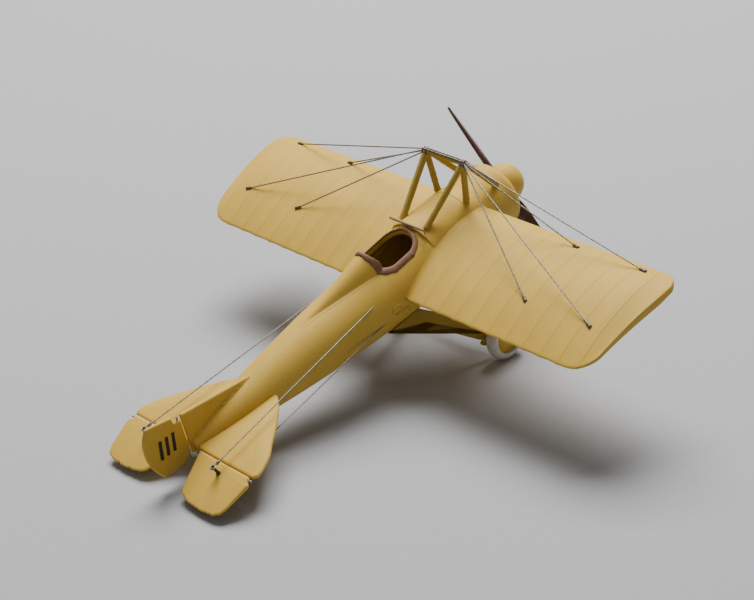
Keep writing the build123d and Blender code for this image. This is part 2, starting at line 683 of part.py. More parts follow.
def standing(parts):
    """Tips the model nose up onto its wheels and skid, centred over the origin."""
    tip = Pos(0, 0, ground_offset()) * Rot(0, -GROUND_ANGLE, 0)
    placed = {name: tip * shape for name, shape in parts.items()}
    boxes = [shape.bounding_box() for shape in placed.values()]
    rear_x = min(box.min.X for box in boxes)
    front_x = max(box.max.X for box in boxes)
    centre = Pos(-(rear_x + front_x) / 2, 0, 0)
    return {name: centre * shape for name, shape in placed.items()}


os.makedirs("parts", exist_ok=True)
for node, shape in standing(build_parts()).items():
    export_step(shape, f"parts/{node}.step")
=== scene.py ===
"""Looks of a small racing monoplane model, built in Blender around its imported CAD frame."""
import math

import bmesh
import bpy
import numpy as np
from mathutils import Matrix, Vector


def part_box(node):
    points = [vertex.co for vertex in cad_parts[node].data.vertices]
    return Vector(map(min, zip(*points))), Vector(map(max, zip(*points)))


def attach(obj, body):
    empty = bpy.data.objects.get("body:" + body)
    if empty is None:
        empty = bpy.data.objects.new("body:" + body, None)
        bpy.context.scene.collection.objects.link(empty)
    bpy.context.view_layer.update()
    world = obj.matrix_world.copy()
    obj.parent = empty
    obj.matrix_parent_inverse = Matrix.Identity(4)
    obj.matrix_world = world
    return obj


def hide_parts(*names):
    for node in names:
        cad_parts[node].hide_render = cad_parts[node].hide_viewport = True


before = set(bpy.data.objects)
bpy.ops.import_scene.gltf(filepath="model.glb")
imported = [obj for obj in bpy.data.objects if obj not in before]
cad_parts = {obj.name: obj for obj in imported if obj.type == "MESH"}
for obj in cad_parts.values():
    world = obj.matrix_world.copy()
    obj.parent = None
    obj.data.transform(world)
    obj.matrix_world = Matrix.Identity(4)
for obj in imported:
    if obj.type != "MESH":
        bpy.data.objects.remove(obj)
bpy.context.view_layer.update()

# ------------ the flying frame
# Shapes are written as in the CAD source: millimetres, X forward along the thrust line, Y to port,
# Z up, origin on the thrust line below the wing's leading edge. fly() tips them onto the ground.
MM = 0.001
WELD_DISTANCE = 1e-7
GROUND_ANGLE = math.radians(16.0)
AXLE = (-9.4, 0.0, -15.9)


def turn_about_y(angle):
    """A matrix that lifts the nose by an angle."""
    c = math.cos(angle)
    s = math.sin(angle)
    return np.array([[c, 0.0, -s], [0.0, 1.0, 0.0], [s, 0.0, c]])


TURN = turn_about_y(GROUND_ANGLE)
axle_low, axle_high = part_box("axle")
ORIGIN = np.array((axle_low + axle_high) / 2) - TURN @ np.array(AXLE) * MM


def fly(points):
    """Points of the flying frame, in mm, as points of the row frame, in metres."""
    return np.asarray(points, float) @ TURN.T * MM + ORIGIN


# ------------ sizes, as in the CAD source
HULL_STATIONS = [(1.0, 6.1, 0.0), (-8.0, 6.5, 0.0), (-20.0, 6.4, 0.0), (-30.0, 5.95, 0.15),
                 (-40.0, 5.2, 0.45), (-50.0, 4.1, 0.85), (-60.0, 2.65, 1.2), (-65.7, 1.35, 1.3)]
HULL_WALL = 0.8
HULL_SHARP = 35
DECK_REAR_X = -13.3
DECK_FRONT_X = -1.0
DECK_RADIUS = 5.9
COCKPIT_X = -19.0
COCKPIT_HALF_LENGTH = 4.7
COCKPIT_HALF_WIDTH = 3.5
COCKPIT_CORNER = 3.2
DECK_SEAM_X = -3.7
DECK_HALF_WIDTH = 5.45
DECK_RISE = 0.75
DECK_RISE_GROWTH = 0.55
HEADREST_FRONT_X = -23.0
HEADREST_TAIL_X = -40.6
HEADREST_BASE_Z = 5.0
HEADREST_HEIGHTS = (4.0, 0.35)
HEADREST_HALF_WIDTHS = (2.9, 0.3)
HEADREST_FOOT_HALF_WIDTH = 3.3
HEADREST_FOOT_NARROWING = 2.7
COAMING_WIDTH = 0.34
COAMING_HALF_HEIGHT = 0.30
SEAT_PAD_CENTRE = (-20.6, -0.25)
SEAT_PAD_HALF_WIDTH = 2.05
SEAT_PAD_RADIUS = 2.3
SEAT_PAD_DEPTH = 0.42
SCREEN_TOP_Z = 7.38
SCREEN_FOOT_Z = 5.1
SCREEN_HALF_WIDTH = 4.05
SPINNER_CENTRE_X = 8.9
SPINNER_RADIUS = 3.5
SPINNER_INNER_RADIUS = 3.0
PROPELLER_X = 8.5
PROPELLER_RADIUS = 16.5
PROPELLER_REST_ANGLE = math.radians(31.0)
CHORD = 22.8
LEADING_EDGE_Z = 2.75
TRAILING_EDGE_Z = 0.3
CAMBER = 0.075
TIP_CAMBER = 0.035
TIP_START = 42.0
THICKNESS = 0.048
HALF_SPAN = 46.85
TIP_RAKE = 1.5
TIP_FRONT_ROUNDING = 3.6
TIP_REAR_ROUNDING = 4.6
RIB_START = 6.2
RIB_PITCH = 3.68
RIB_PROUD = 0.05
RIB_HALF_WIDTH = 0.13
# Width and strength of the painted shade in thin lines along the wing's ribs.
RIB_SHADE_HALF_WIDTH = 0.34
RIB_SHADE_STRENGTH = 0.42
CLOTH_SAG = 0.07
WING_EDGE_ROUNDING = 0.35
APEX = (-1.94, 4.25, 13.0)
FRONT_FOOT = (-2.7, 3.4, 5.75)
REAR_FOOT = (-12.0, 2.84, 6.35)
COWL_FOOT = (3.9, 4.1, 4.5)
WIRE_RADIUS = 0.145
WING_WIRE_FEET = ((0.08, 40.7, 1, 1), (0.09, 27.0, 1, -1), (0.685, 27.3, -1, -1), (0.685, 40.7, -1, 1))
TAIL_Z = 1.2
HINGE_X = -66.3
ELEVATOR_DROOP = math.radians(14.0)
HORN = (-67.7, 8.6)
HORN_REACH = 2.55
CONTROL_LINES = (("upper", (-28.8, 5.2, 2.98), 2.15), ("lower", (-28.8, 5.9, -0.95), -1.5))
RUDDER_FOOT = (-66.9, 0.0, -0.35)
RUDDER_TILT = math.radians(3.9)
MARK_Y = -0.385
MARK_Z = 3.4
MARK_SLANT = 0.6
MARK_HEIGHT = 3.3
WHEEL_Y = 11.9
TYRE_RING_RADIUS = 3.2
TYRE_SECTION = 1.1
FRAME_ROOT = (4.4, -4.2)
FRAME_SPLAY = math.radians(25.2)
PAINT = (0.61, 0.385, 0.062)

SIDES = (("port", 1.0), ("starboard", -1.0))
rng = np.random.default_rng(7)


# ------------ mesh helpers
def smooth_curve(xs, known_x, known_y):
    """A smooth curve through known points, with each slope taken from its neighbours."""
    order = np.argsort(known_x)
    kx = np.asarray(known_x, float)[order]
    ky = np.asarray(known_y, float)[order]
    slope = np.gradient(ky, kx)
    x = np.clip(np.asarray(xs, float), kx[0], kx[-1])
    i = np.clip(np.searchsorted(kx, x) - 1, 0, len(kx) - 2)
    h = kx[i + 1] - kx[i]
    t = (x - kx[i]) / h
    a = (1 + 2 * t) * (1 - t) ** 2
    b = t * (1 - t) ** 2
    c = t * t * (3 - 2 * t)
    d = t * t * (t - 1)
    return a * ky[i] + b * h * slope[i] + c * ky[i + 1] + d * h * slope[i + 1]


def full_turn(count, start=0.0):
    """Angles evenly spaced round a full turn."""
    return np.linspace(start, start + 2 * math.pi, count, endpoint=False)


def bump(distance, width):
    """A smooth hump: 1 at distance 0, near 0 beyond twice the width."""
    return np.exp(-(np.asarray(distance, float) / width) ** 2)


def grid_faces(rows, columns, wrap_rows=False, wrap_columns=False, start=0):
    """Quads of a grid of points listed row by row."""
    faces = []
    for i in range(rows if wrap_rows else rows - 1):
        for j in range(columns if wrap_columns else columns - 1):
            i2 = (i + 1) % rows
            j2 = (j + 1) % columns
            faces.append((start + i * columns + j, start + i2 * columns + j,
                          start + i2 * columns + j2, start + i * columns + j2))
    return faces


def linked(name, data):
    """A new object in the scene."""
    obj = bpy.data.objects.new(name, data)
    bpy.context.scene.collection.objects.link(obj)
    return obj


def mesh_of(name, skin, weld=False):
    """A mesh from the points and faces of a skin in the flying frame, with its normals outwards."""
    points, faces = skin
    mesh = bpy.data.meshes.new(name)
    mesh.from_pydata([tuple(p) for p in fly(points)], [], faces)
    if weld:
        mesh.validate()
    work = bmesh.new()
    work.from_mesh(mesh)
    if weld:
        bmesh.ops.remove_doubles(work, verts=work.verts, dist=WELD_DISTANCE)
    bmesh.ops.recalc_face_normals(work, faces=work.faces)
    work.to_mesh(mesh)
    work.free()
    return mesh


def piece(name, skin, material, body="airframe", node_name=None, sharp=None):
    """A mesh piece that rides on a body; it stands for the CAD node of its own name, or the one named."""
    mesh = mesh_of(name, skin, weld=True)
    for polygon in mesh.polygons:
        polygon.use_smooth = True
    if sharp is not None:
        mesh.set_sharp_from_angle(angle=math.radians(sharp))
    obj = linked(name, mesh)
    mesh.materials.append(material)
    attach(obj, body)
    node_name = node_name or name
    if node_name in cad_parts:
        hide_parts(node_name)
    return obj


def moved(skin, change):
    """The skin with its points changed by a function."""
    points, faces = skin
    return change(points), faces


def mirrored(skin, side):
    """The skin moved to the other side for side -1."""
    return moved(skin, lambda points: np.asarray(points, float) * (1.0, side, 1.0))


def unit(vector):
    return np.asarray(vector, float) / np.linalg.norm(vector)


def across(axis):
    """A unit vector at right angles to an axis."""
    helper = (0.0, 0.0, 1.0) if abs(axis[2]) < 0.9 else (1.0, 0.0, 0.0)
    return unit(np.cross(axis, helper))


def loft(rings):
    """Points and faces of a skin over closed rings of equal length, with its ends filled."""
    rings = [np.asarray(ring, float) for ring in rings]
    count = len(rings[0])
    points = np.concatenate(rings)
    faces = grid_faces(len(rings), count, wrap_columns=True)
    faces.append(tuple(range(count)))
    faces.append(tuple(range(len(points) - count, len(points)))[::-1])
    return points, faces


def joined(parts):
    """Several (points, faces) as one."""
    points = []
    faces = []
    start = 0
    for part_points, part_faces in parts:
        points.append(np.asarray(part_points, float))
        faces.extend(tuple(start + i for i in face) for face in part_faces)
        start += len(part_points)
    return np.concatenate(points), faces


def lathe(stations, count=96, centre=(0.0, 0.0, 0.0), axis="x"):
    """A skin turned about an axis from a closed loop of (along, radius) stations."""
    angles = full_turn(count)
    rings = []
    for along, radius in stations:
        c = radius * np.cos(angles)
        s = radius * np.sin(angles)
        u = np.full(count, float(along))
        ring = np.stack([u, c, s], 1) if axis == "x" else np.stack([s, u, c], 1)
        rings.append(ring + np.array(centre))
    points = np.concatenate(rings)
    return points, grid_faces(len(rings), count, wrap_rows=True, wrap_columns=True)


def sweep(path, radii, count=12, shape=None, twist=None):
    """A tube along a path. shape(angle) scales the radius; twist turns the section along the path."""
    path = np.asarray(path, float)
    radii = np.broadcast_to(np.asarray(radii, float), (len(path),))
    tangents = np.gradient(path, axis=0)
    tangents /= np.linalg.norm(tangents, axis=1)[:, None]
    side = across(tangents[0])
    angles = full_turn(count)
    rings = []
    for i, (p, t, r) in enumerate(zip(path, tangents, radii)):
        side = unit(side - t * np.dot(side, t))
        up = np.cross(t, side)
        turn = twist[i] if twist is not None else 0.0
        scale = np.array([shape(a) for a in angles]) if shape else np.ones(count)
        a = angles + turn
        rings.append(p + (r * scale * np.cos(a))[:, None] * side + (r * scale * np.sin(a))[:, None] * up)
    return loft(rings)


# ------------ materials
def node(tree, kind, **values):
    made = tree.nodes.new(kind)
    for key, value in values.items():
        if hasattr(made, key):
            setattr(made, key, value)
        else:
            made.inputs[key].default_value = value
    return made


def new_material(name):
    """A new material, its node tree, its shader and its object coordinates in millimetres."""
    material = bpy.data.materials.new(name)
    material.use_nodes = True
    tree = material.node_tree
    source = node(tree, "ShaderNodeTexCoord")
    scaled = node(tree, "ShaderNodeVectorMath", operation="SCALE", Scale=1 / MM)
    tree.links.new(source.outputs["Object"], scaled.inputs[0])
    return material, tree, tree.nodes["Principled BSDF"], scaled.outputs[0]


def noise(tree, place, scale, detail=3.0, roughness=0.55):
    made = node(tree, "ShaderNodeTexNoise", Scale=scale, Detail=detail, Roughness=roughness)
    tree.links.new(place, made.inputs["Vector"])
    return made.outputs["Fac"]


def ramp(tree, value, stops):
    """A colour ramp from (position, colour) stops."""
    made = node(tree, "ShaderNodeValToRGB")
    elements = made.color_ramp.elements
    while len(elements) < len(stops):
        elements.new(0.5)
    for element, (position, colour) in zip(elements, stops):
        element.position = position
        element.color = (*colour, 1.0)
    tree.links.new(value, made.inputs["Fac"])
    return made.outputs["Color"]


def grey(level):
    return (level, level, level)


def feed(tree, socket, value):
    """Links a socket to another one, or sets it to a constant."""
    if isinstance(value, bpy.types.NodeSocket):
        tree.links.new(value, socket)
    elif isinstance(value, tuple):
        socket.default_value = (*value, 1.0)
    elif value is not None:
        socket.default_value = value


def mix(tree, factor, a, b, blend="MIX"):
    """Mixes two colours; factor, a and b are sockets or constants."""
    made = node(tree, "ShaderNodeMix", data_type="RGBA", blend_type=blend)
    for index, value in ((0, factor), (6, a), (7, b)):
        feed(tree, made.inputs[index], value)
    return made.outputs[2]


def add_bump(tree, shader, height, strength, distance):
    made = node(tree, "ShaderNodeBump", Strength=strength, Distance=distance)
    tree.links.new(height, made.inputs["Height"])
    tree.links.new(made.outputs["Normal"], shader.inputs["Normal"])


def tint(colour, factor):
    return tuple(c * factor for c in colour)


def paint(name, base=PAINT, ribs=False):
    """Brushed satin model paint: broad mottling, fine dust specks, faint scratches; with ribs set, painted
    shade darkens it along each rib.
    """
    material, tree, shader, place = new_material(name)
    broad = noise(tree, place, 0.11, 2.0)
    fine = noise(tree, place, 2.2, 4.0, 0.7)
    dust = noise(tree, place, 5.5, 1.0)
    colour = ramp(tree, broad, [(0.3, tint(base, 0.94)), (0.7, tint(base, 1.05))])
    mottled = ramp(tree, fine, [(0.3, grey(0.93)), (0.68, grey(1.03))])
    colour = mix(tree, 1.0, colour, mottled, "MULTIPLY")
    dark_speck = ramp(tree, dust, [(0.0, grey(1.0)), (0.235, grey(1.0)), (0.27, grey(0.0))])
    colour = mix(tree, dark_speck, colour, tint(base, 0.55))
    light_speck = ramp(tree, dust, [(0.725, grey(0.0)), (0.76, grey(0.7)), (1.0, grey(0.7))])
    colour = mix(tree, light_speck, colour, (0.74, 0.53, 0.17))
    # Painted shade: the wing paint is darkened in a thin line along each rib, where the cloth creases.
    if ribs:
        colour = mix(tree, rib_shade_lines(tree, place), colour, tint(base, 0.84))
    tree.links.new(colour, shader.inputs["Base Color"])
    rough = ramp(tree, fine, [(0.3, grey(0.46)), (0.7, grey(0.58))])
    tree.links.new(rough, shader.inputs["Roughness"])
    shader.inputs["Specular IOR Level"].default_value = 0.12
    add_bump(tree, shader, fine, 0.35, 0.00005)
    return material


def rib_shade_lines(tree, place):
    """Mask of painted shade along the wing's ribs: 1 along each rib times the shade strength, 0 between, from
    the distance to port or starboard.
    """
    split = node(tree, "ShaderNodeSeparateXYZ")
    tree.links.new(place, split.inputs[0])

    def math_node(operation, a, b):
        made = node(tree, "ShaderNodeMath", operation=operation)
        feed(tree, made.inputs[0], a)
        feed(tree, made.inputs[1], b)
        return made.outputs[0]

    out = math_node("ABSOLUTE", split.outputs["Y"], None)
    shifted = math_node("SUBTRACT", out, RIB_START - RIB_PITCH / 2)
    within = math_node("MODULO", shifted, RIB_PITCH)
    offset = math_node("ABSOLUTE", math_node("SUBTRACT", within, RIB_PITCH / 2), None)
    near = math_node("DIVIDE", offset, RIB_SHADE_HALF_WIDTH)
    line = math_node("SUBTRACT", 1.0, near)
    clamped = math_node("MAXIMUM", line, 0.0)
    return math_node("MULTIPLY", clamped, RIB_SHADE_STRENGTH)


def plain(name, dark, light, scale, rough, metallic=0.0, bump_strength=0.3, bump_depth=0.00005):
    """A material with two mottled tones and a grained surface."""
    material, tree, shader, place = new_material(name)
    grain = noise(tree, place, scale, 5.0, 0.65)
    tree.links.new(ramp(tree, grain, [(0.32, dark), (0.68, light)]), shader.inputs["Base Color"])
    roughness = ramp(tree, grain, [(0.3, grey(rough[0])), (0.7, grey(rough[1]))])
    tree.links.new(roughness, shader.inputs["Roughness"])
    shader.inputs["Metallic"].default_value = metallic
    add_bump(tree, shader, grain, bump_strength, bump_depth)
    return material


def wood(name):
    """Dark varnished wood with streaks along the blade."""
    material, tree, shader, place = new_material(name)
    stretch = node(tree, "ShaderNodeMapping", Scale=(1.6, 1.6, 0.22))
    tree.links.new(place, stretch.inputs["Vector"])
    streak = noise(tree, stretch.outputs[0], 1.4, 4.0, 0.7)
    colour = ramp(tree, streak, [(0.3, (0.026, 0.007, 0.004)), (0.55, (0.075, 0.018, 0.009)),
                                 (0.75, (0.135, 0.040, 0.018))])
    tree.links.new(colour, shader.inputs["Base Color"])
    shader.inputs["Roughness"].default_value = 0.26
    shader.inputs["Coat Weight"].default_value = 0.5
    shader.inputs["Coat Roughness"].default_value = 0.15
    add_bump(tree, shader, streak, 0.3, 0.00006)
    return material


def glass(name):
    material, tree, shader, place = new_material(name)
    smear = noise(tree, place, 0.8, 2.0)
    tree.links.new(ramp(tree, smear, [(0.3, grey(0.05)), (0.7, grey(0.2))]), shader.inputs["Roughness"])
    shader.inputs["Base Color"].default_value = (0.95, 0.93, 0.88, 1.0)
    shader.inputs["Transmission Weight"].default_value = 0.97
    shader.inputs["IOR"].default_value = 1.12
    return material


hull_paint = paint("hull_paint")
wing_paint = paint("wing_paint", ribs=True)
wheel_paint = paint("wheel_paint", tint(PAINT, 0.96))
tail_paint = paint("tail_paint")
spinner_paint = paint("spinner_paint", tint(PAINT, 1.02))
strut_paint = paint("strut_paint", (0.37, 0.262, 0.052))
interior = plain("cockpit_dark", (0.004, 0.003, 0.002), (0.010, 0.007, 0.004), 1.2, (0.7, 0.9))
coaming_leather = plain("coaming_leather", (0.12, 0.052, 0.026), (0.28, 0.135, 0.066), 1.5, (0.6, 0.85),
                        bump_strength=0.9, bump_depth=0.00012)
seat_leather = plain("seat_leather", (0.10, 0.030, 0.012), (0.26, 0.10, 0.045), 1.1, (0.4, 0.65),
                     bump_strength=0.7, bump_depth=0.0001)
trim_brown = plain("screen_trim", (0.13, 0.055, 0.02), (0.25, 0.12, 0.045), 1.5, (0.5, 0.7))
wire_metal = plain("rigging_wire", (0.13, 0.115, 0.09), (0.36, 0.33, 0.28), 2.5, (0.35, 0.5), metallic=0.6)
socket_dark = plain("socket_metal", (0.045, 0.038, 0.03), (0.16, 0.14, 0.11), 3.0, (0.4, 0.6), metallic=0.5)
steel = plain("shaft_steel", (0.16, 0.16, 0.16), (0.30, 0.30, 0.31), 2.0, (0.3, 0.5), metallic=0.9)
horn_dark = plain("horn_metal", (0.012, 0.012, 0.013), (0.05, 0.05, 0.055), 2.0, (0.35, 0.55), metallic=0.3)
cord_dark = plain("cord_rubber", (0.02, 0.02, 0.02), (0.07, 0.065, 0.06), 3.0, (0.6, 0.8))
tyre_white = plain("tyre_rubber", (0.50, 0.47, 0.40), (0.68, 0.65, 0.58), 1.2, (0.5, 0.7))
blade_wood = wood("propeller_wood")
pane_clear = glass("clear_pane")
mark_black = plain("marking_black", (0.006, 0.006, 0.006), (0.02, 0.018, 0.016), 3.0, (0.5, 0.7))


# ------------ shared outlines
def arc_points(centre, radius, start, end, count):
    """Points along a circular arc in a plane, angles in degrees."""
    angles = np.radians(np.linspace(start, end, count))
    return np.stack([centre[0] + radius * np.cos(angles), centre[1] + radius * np.sin(angles)], 1)


def eased_outline(corners, spacing, rounding):
    """A closed outline through plan corners, filled in evenly, with its corners eased."""
    corners = np.asarray(corners, float)
    points = []
    for start, end in zip(corners, np.roll(corners, -1, 0)):
        count = max(2, int(np.linalg.norm(end - start) / spacing))
        points.extend(start + (end - start) * t for t in np.arange(count) / count)
    points = np.array(points)
    for _ in range(rounding):
        points = 0.5 * points + 0.25 * (np.roll(points, 1, 0) + np.roll(points, -1, 0))
    return points


def outline_normals(outline):
    """Unit vectors at right angles to a closed outline, one at each point."""
    ahead = np.roll(outline, -1, 0) - np.roll(outline, 1, 0)
    normals = np.stack([ahead[:, 1], -ahead[:, 0]], 1)
    return normals / np.linalg.norm(normals, axis=1)[:, None]


def inset(outline, distance):
    """The outline moved inwards by a small distance."""
    normal = outline_normals(outline)
    area = np.sum(outline[:, 0] * np.roll(outline[:, 1], -1) - np.roll(outline[:, 0], -1) * outline[:, 1])
    return outline - normal * distance * (1.0 if area > 0 else -1.0)


def slab(outline, half_thickness, edge, height=0.0):
    """A flat panel with rounded edges. half_thickness may be a function of the outline's points."""
    steps = 4
    rings = []
    for k in range(-steps, steps + 1):
        angle = k / steps * math.pi / 2
        ring = inset(outline, edge * (1 - math.cos(angle)))
        thick = half_thickness(ring) if callable(half_thickness) else np.full(len(ring), half_thickness)
        rings.append(np.column_stack([ring, thick * math.sin(angle) + height]))
    return loft(rings)


def bar(start, end, width, thickness, broad, steps=14, wander=0.03, flare=0.0):
    """A flat strut with rounded edges, its width along broad, a little uneven as if made by hand."""
    start, end = np.array((start, end), float)
    along = unit(end - start)
    broad = unit(broad - along * np.dot(broad, along))
    thin = np.cross(along, broad)
    angles = full_turn(20)
    rings = []
    for t in np.linspace(0, 1, steps):
        centre = start + (end - start) * t
        grow = 1 + flare * (bump(t, 0.07) + 0.4 * bump(1 - t, 0.05)) + wander * rng.normal()
        u = np.sign(np.cos(angles)) * np.abs(np.cos(angles)) ** 0.6 * width / 2 * grow
        v = np.sign(np.sin(angles)) * np.abs(np.sin(angles)) ** 0.7 * thickness / 2 * grow
        rings.append(centre + u[:, None] * broad + v[:, None] * thin)
    return loft(rings)


def twisted_wire(start, end, radius=WIRE_RADIUS, lay=2.0):
    """Two strands laid round each other, as one skin with a turning two-lobed section."""
    start, end = np.array((start, end), float)
    length = np.linalg.norm(end - start)
    count = int(length / lay * 8)
    path = start + (end - start) * np.linspace(0, 1, count)[:, None]
    turns = np.linspace(0, 2 * math.pi * length / lay, count)
    return sweep(path, radius * 0.9, 8, shape=lambda a: 0.90 + 0.10 * abs(math.cos(a)), twist=turns)


def wrap(centre, axis, radius, turns, pitch, strand):
    """A few turns of wire or cord wound about an axis."""
    axis = unit(axis)
    u = across(axis)
    v = np.cross(axis, u)
    angles = np.linspace(0, 2 * math.pi * turns, int(28 * turns))
    uneven = 1 + 0.05 * np.sin(angles * 0.37 + 1.0)
    along = (angles / (2 * math.pi) - turns / 2) * pitch
    path = (np.array(centre, float) + np.outer(along, axis)
            + np.outer(radius * uneven * np.cos(angles), u) + np.outer(radius * uneven * np.sin(angles), v))
    return sweep(path, strand, 8)


# ------------ hull and deck
hull_xs, hull_radii, hull_rises = np.array(HULL_STATIONS).T


def hull_radius(x):
    return smooth_curve(x, hull_xs, hull_radii)


def hull_rise(x):
    """Height of the hull's centre line, which lifts a little towards the tail."""
    return smooth_curve(x, hull_xs, hull_rises)


def hull_top(x, y):
    """Height of the hull's upper surface above a point of the plan."""
    radius = hull_radius(x)
    return hull_rise(x) + np.sqrt(np.maximum(radius ** 2 - np.asarray(y, float) ** 2, 0.01))


def cockpit_outline(growth, count):
    """Plan outline of the cockpit opening as (x, y) points, starting at its rear middle."""
    half_length = COCKPIT_HALF_LENGTH + growth
    half_width = COCKPIT_HALF_WIDTH + growth
    corner = COCKPIT_CORNER + growth
    angles = full_turn(count, math.pi)
    x = COCKPIT_X + np.sign(np.cos(angles)) * (half_length - corner) + corner * np.cos(angles)
    y = np.sign(np.sin(angles)) * (half_width - corner) + corner * np.sin(angles)
    return np.stack([x, y], 1)


def hull_half(name, side):
    """One half shell, with a faint seam along the split."""
    xs = np.linspace(HULL_STATIONS[-1][0], HULL_STATIONS[0][0], 170)
    angles = np.linspace(-math.pi / 2, math.pi / 2, 91)
    seam = 0.03 * (bump(angles - math.pi / 2, 0.012) + bump(angles + math.pi / 2, 0.012))
    wavy = 0.025 * np.sin(xs / 3.1)[:, None] * np.sin(angles * 3.0)[None, :]
    outer = hull_radius(xs)[:, None] - seam[None, :] + wavy - 0.025
    inner = np.broadcast_to((hull_radius(xs) - HULL_WALL).clip(0.4)[:, None], outer.shape)
    rows = []
    for radius in (outer, inner):
        y = radius * np.cos(angles)[None, :]
        z = radius * np.sin(angles)[None, :] + hull_rise(xs)[:, None]
        rows.append(np.stack([np.broadcast_to(xs[:, None], y.shape), y, z], 2))
    n, m = outer.shape
    points = np.concatenate([row.reshape(-1, 3) for row in rows])
    faces = grid_faces(n, m) + grid_faces(n, m, start=n * m)
    edges = [(i * m + j, (i + 1) * m + j) for i in range(n - 1) for j in (0, m - 1)]
    edges += [(i * m + j, i * m + j + 1) for j in range(m - 1) for i in (0, n - 1)]
    faces += [(a, b, n * m + b, n * m + a) for a, b in edges]
    return piece("hull_" + name, mirrored((points, faces), side), hull_paint,
                 node_name="fuselage_half_" + name, sharp=HULL_SHARP)


def cut_cockpit(obj):
    """Cuts the cockpit opening through the hull's top."""
    outline = cockpit_outline(0.0, 96)
    skin = loft([np.column_stack([outline, np.full(len(outline), z)]) for z in (1.0, 15.0)])
    cutter = linked("cockpit_cutter", mesh_of("cockpit_cutter", skin))
    modifier = obj.modifiers.new("cockpit", "BOOLEAN")
    modifier.operation = "DIFFERENCE"
    modifier.solver = "EXACT"
    modifier.object = cutter
    settled = obj.evaluated_get(bpy.context.evaluated_depsgraph_get())
    cut = bpy.data.meshes.new_from_object(settled)
    obj.modifiers.clear()
    obj.data = cut
    bpy.data.objects.remove(cutter)
    cut.set_sharp_from_angle(angle=math.radians(HULL_SHARP))


def deck_height(x, y):
    """Height of the raised deck's surface above a point of the plan."""
    rise = DECK_RISE + (x - DECK_FRONT_X) / (DECK_REAR_X - DECK_FRONT_X) * DECK_RISE_GROWTH
    return rise + np.sqrt(np.maximum(DECK_RADIUS ** 2 - np.asarray(y, float) ** 2, 0.01))


def capping(x, y, top, base):
    """One closed section of a cap on the hull: its top, then its underside backwards."""
    return np.concatenate([np.column_stack([np.full(len(y), x), y, top]),
                           np.column_stack([np.full(len(y), x), y, base])[::-1]])


def deck():
    """Raised panel ahead of the cockpit, with a scribed seam near its front."""
    near_seam = DECK_SEAM_X + np.linspace(-0.3, 0.3, 9)
    xs = np.unique(np.concatenate([np.linspace(DECK_REAR_X, DECK_FRONT_X, 60), near_seam]))
    y = DECK_HALF_WIDTH * np.sin(np.linspace(-math.pi / 2, math.pi / 2, 81))
    sunk = 0.12
    rows = []
    for x in xs:
        easing = np.clip((DECK_FRONT_X - x) / 2.2, 0, 1) ** 0.6
        base = hull_top(x, y) - sunk
        z = base + sunk + (deck_height(x, y) - base - sunk).clip(0) * easing
        z = z - 0.10 * bump(x - DECK_SEAM_X, 0.08) - 0.12 * bump(DECK_REAR_X - x, 0.12)
        z = np.maximum(z, base + 0.01)
        rows.append(capping(x, y, z, base))
    piece("deck_panel", loft(rows), hull_paint, sharp=50)


def headrest_height(x, y):
    """Height of the hump behind the cockpit above a point of the plan."""
    t = np.clip((x - HEADREST_FRONT_X) / (HEADREST_TAIL_X - HEADREST_FRONT_X), 0, 1)
    half_width = HEADREST_HALF_WIDTHS[0] + (HEADREST_HALF_WIDTHS[1] - HEADREST_HALF_WIDTHS[0]) * t
    height = HEADREST_HEIGHTS[0] + (HEADREST_HEIGHTS[1] - HEADREST_HEIGHTS[0]) * t
    sideways = np.clip(np.abs(y) / half_width, 0, 1)
    return HEADREST_BASE_Z + height * np.sqrt(1 - sideways ** 2)


def headrest():
    """The hump behind the cockpit, blended softly into the hull."""
    rows = []
    cockpit_rear = COCKPIT_X - COCKPIT_HALF_LENGTH
    for x in np.linspace(HEADREST_TAIL_X + 0.6, cockpit_rear + 0.05, 70):
        t = (x - HEADREST_FRONT_X) / (HEADREST_TAIL_X - HEADREST_FRONT_X)
        half_width = HEADREST_FOOT_HALF_WIDTH - HEADREST_FOOT_NARROWING * t
        y = half_width * np.sin(np.linspace(-math.pi / 2, math.pi / 2, 61))
        hull = hull_top(x, y)
        gap = headrest_height(x, y) - hull
        raised = 0.5 * (gap + np.sqrt(gap ** 2 + 0.02)) - 0.03
        edge = np.clip((1 - np.abs(y) / half_width) / 0.12, 0, 1)
        z = hull + raised * edge + 0.01
        rows.append(capping(x, y, z, hull - 0.1))
    piece("headrest", loft(rows), hull_paint, node_name="headrest_fairing", sharp=40)


def putty_marks():
    """Rough rings of filler left on the hull's starboard side, beside and behind the cockpit."""
    parts = []
    for x, angle_degrees, radius in ((-21.0, -3.0, 0.9), (-25.0, -1.0, 0.8), (-23.2, -16.0, 0.7)):
        angle = math.radians(angle_degrees)
        path = []
        for a in np.linspace(0, 2 * math.pi, 40):
            px = x + radius * 1.3 * math.cos(a)
            turn = angle + radius * math.sin(a) / 6.0
            r = hull_radius(px) + 0.01 + 0.03 * math.sin(3 * a + x)
            path.append((px, -r * math.cos(turn), r * math.sin(turn) + hull_rise(px)))
        parts.append(sweep(path, 0.11 + 0.03 * np.sin(np.linspace(0, 9, 40)), 8))
    piece("putty_rings", joined(parts), hull_paint)


# ------------ cockpit
def coaming_skin(x, y):
    """Height that the coaming lies on: the hull or the headrest, whichever is higher."""
    behind = x < COCKPIT_X - COCKPIT_HALF_LENGTH + 0.9
    return np.where(behind, np.maximum(hull_top(x, y), headrest_height(x, y)), hull_top(x, y))


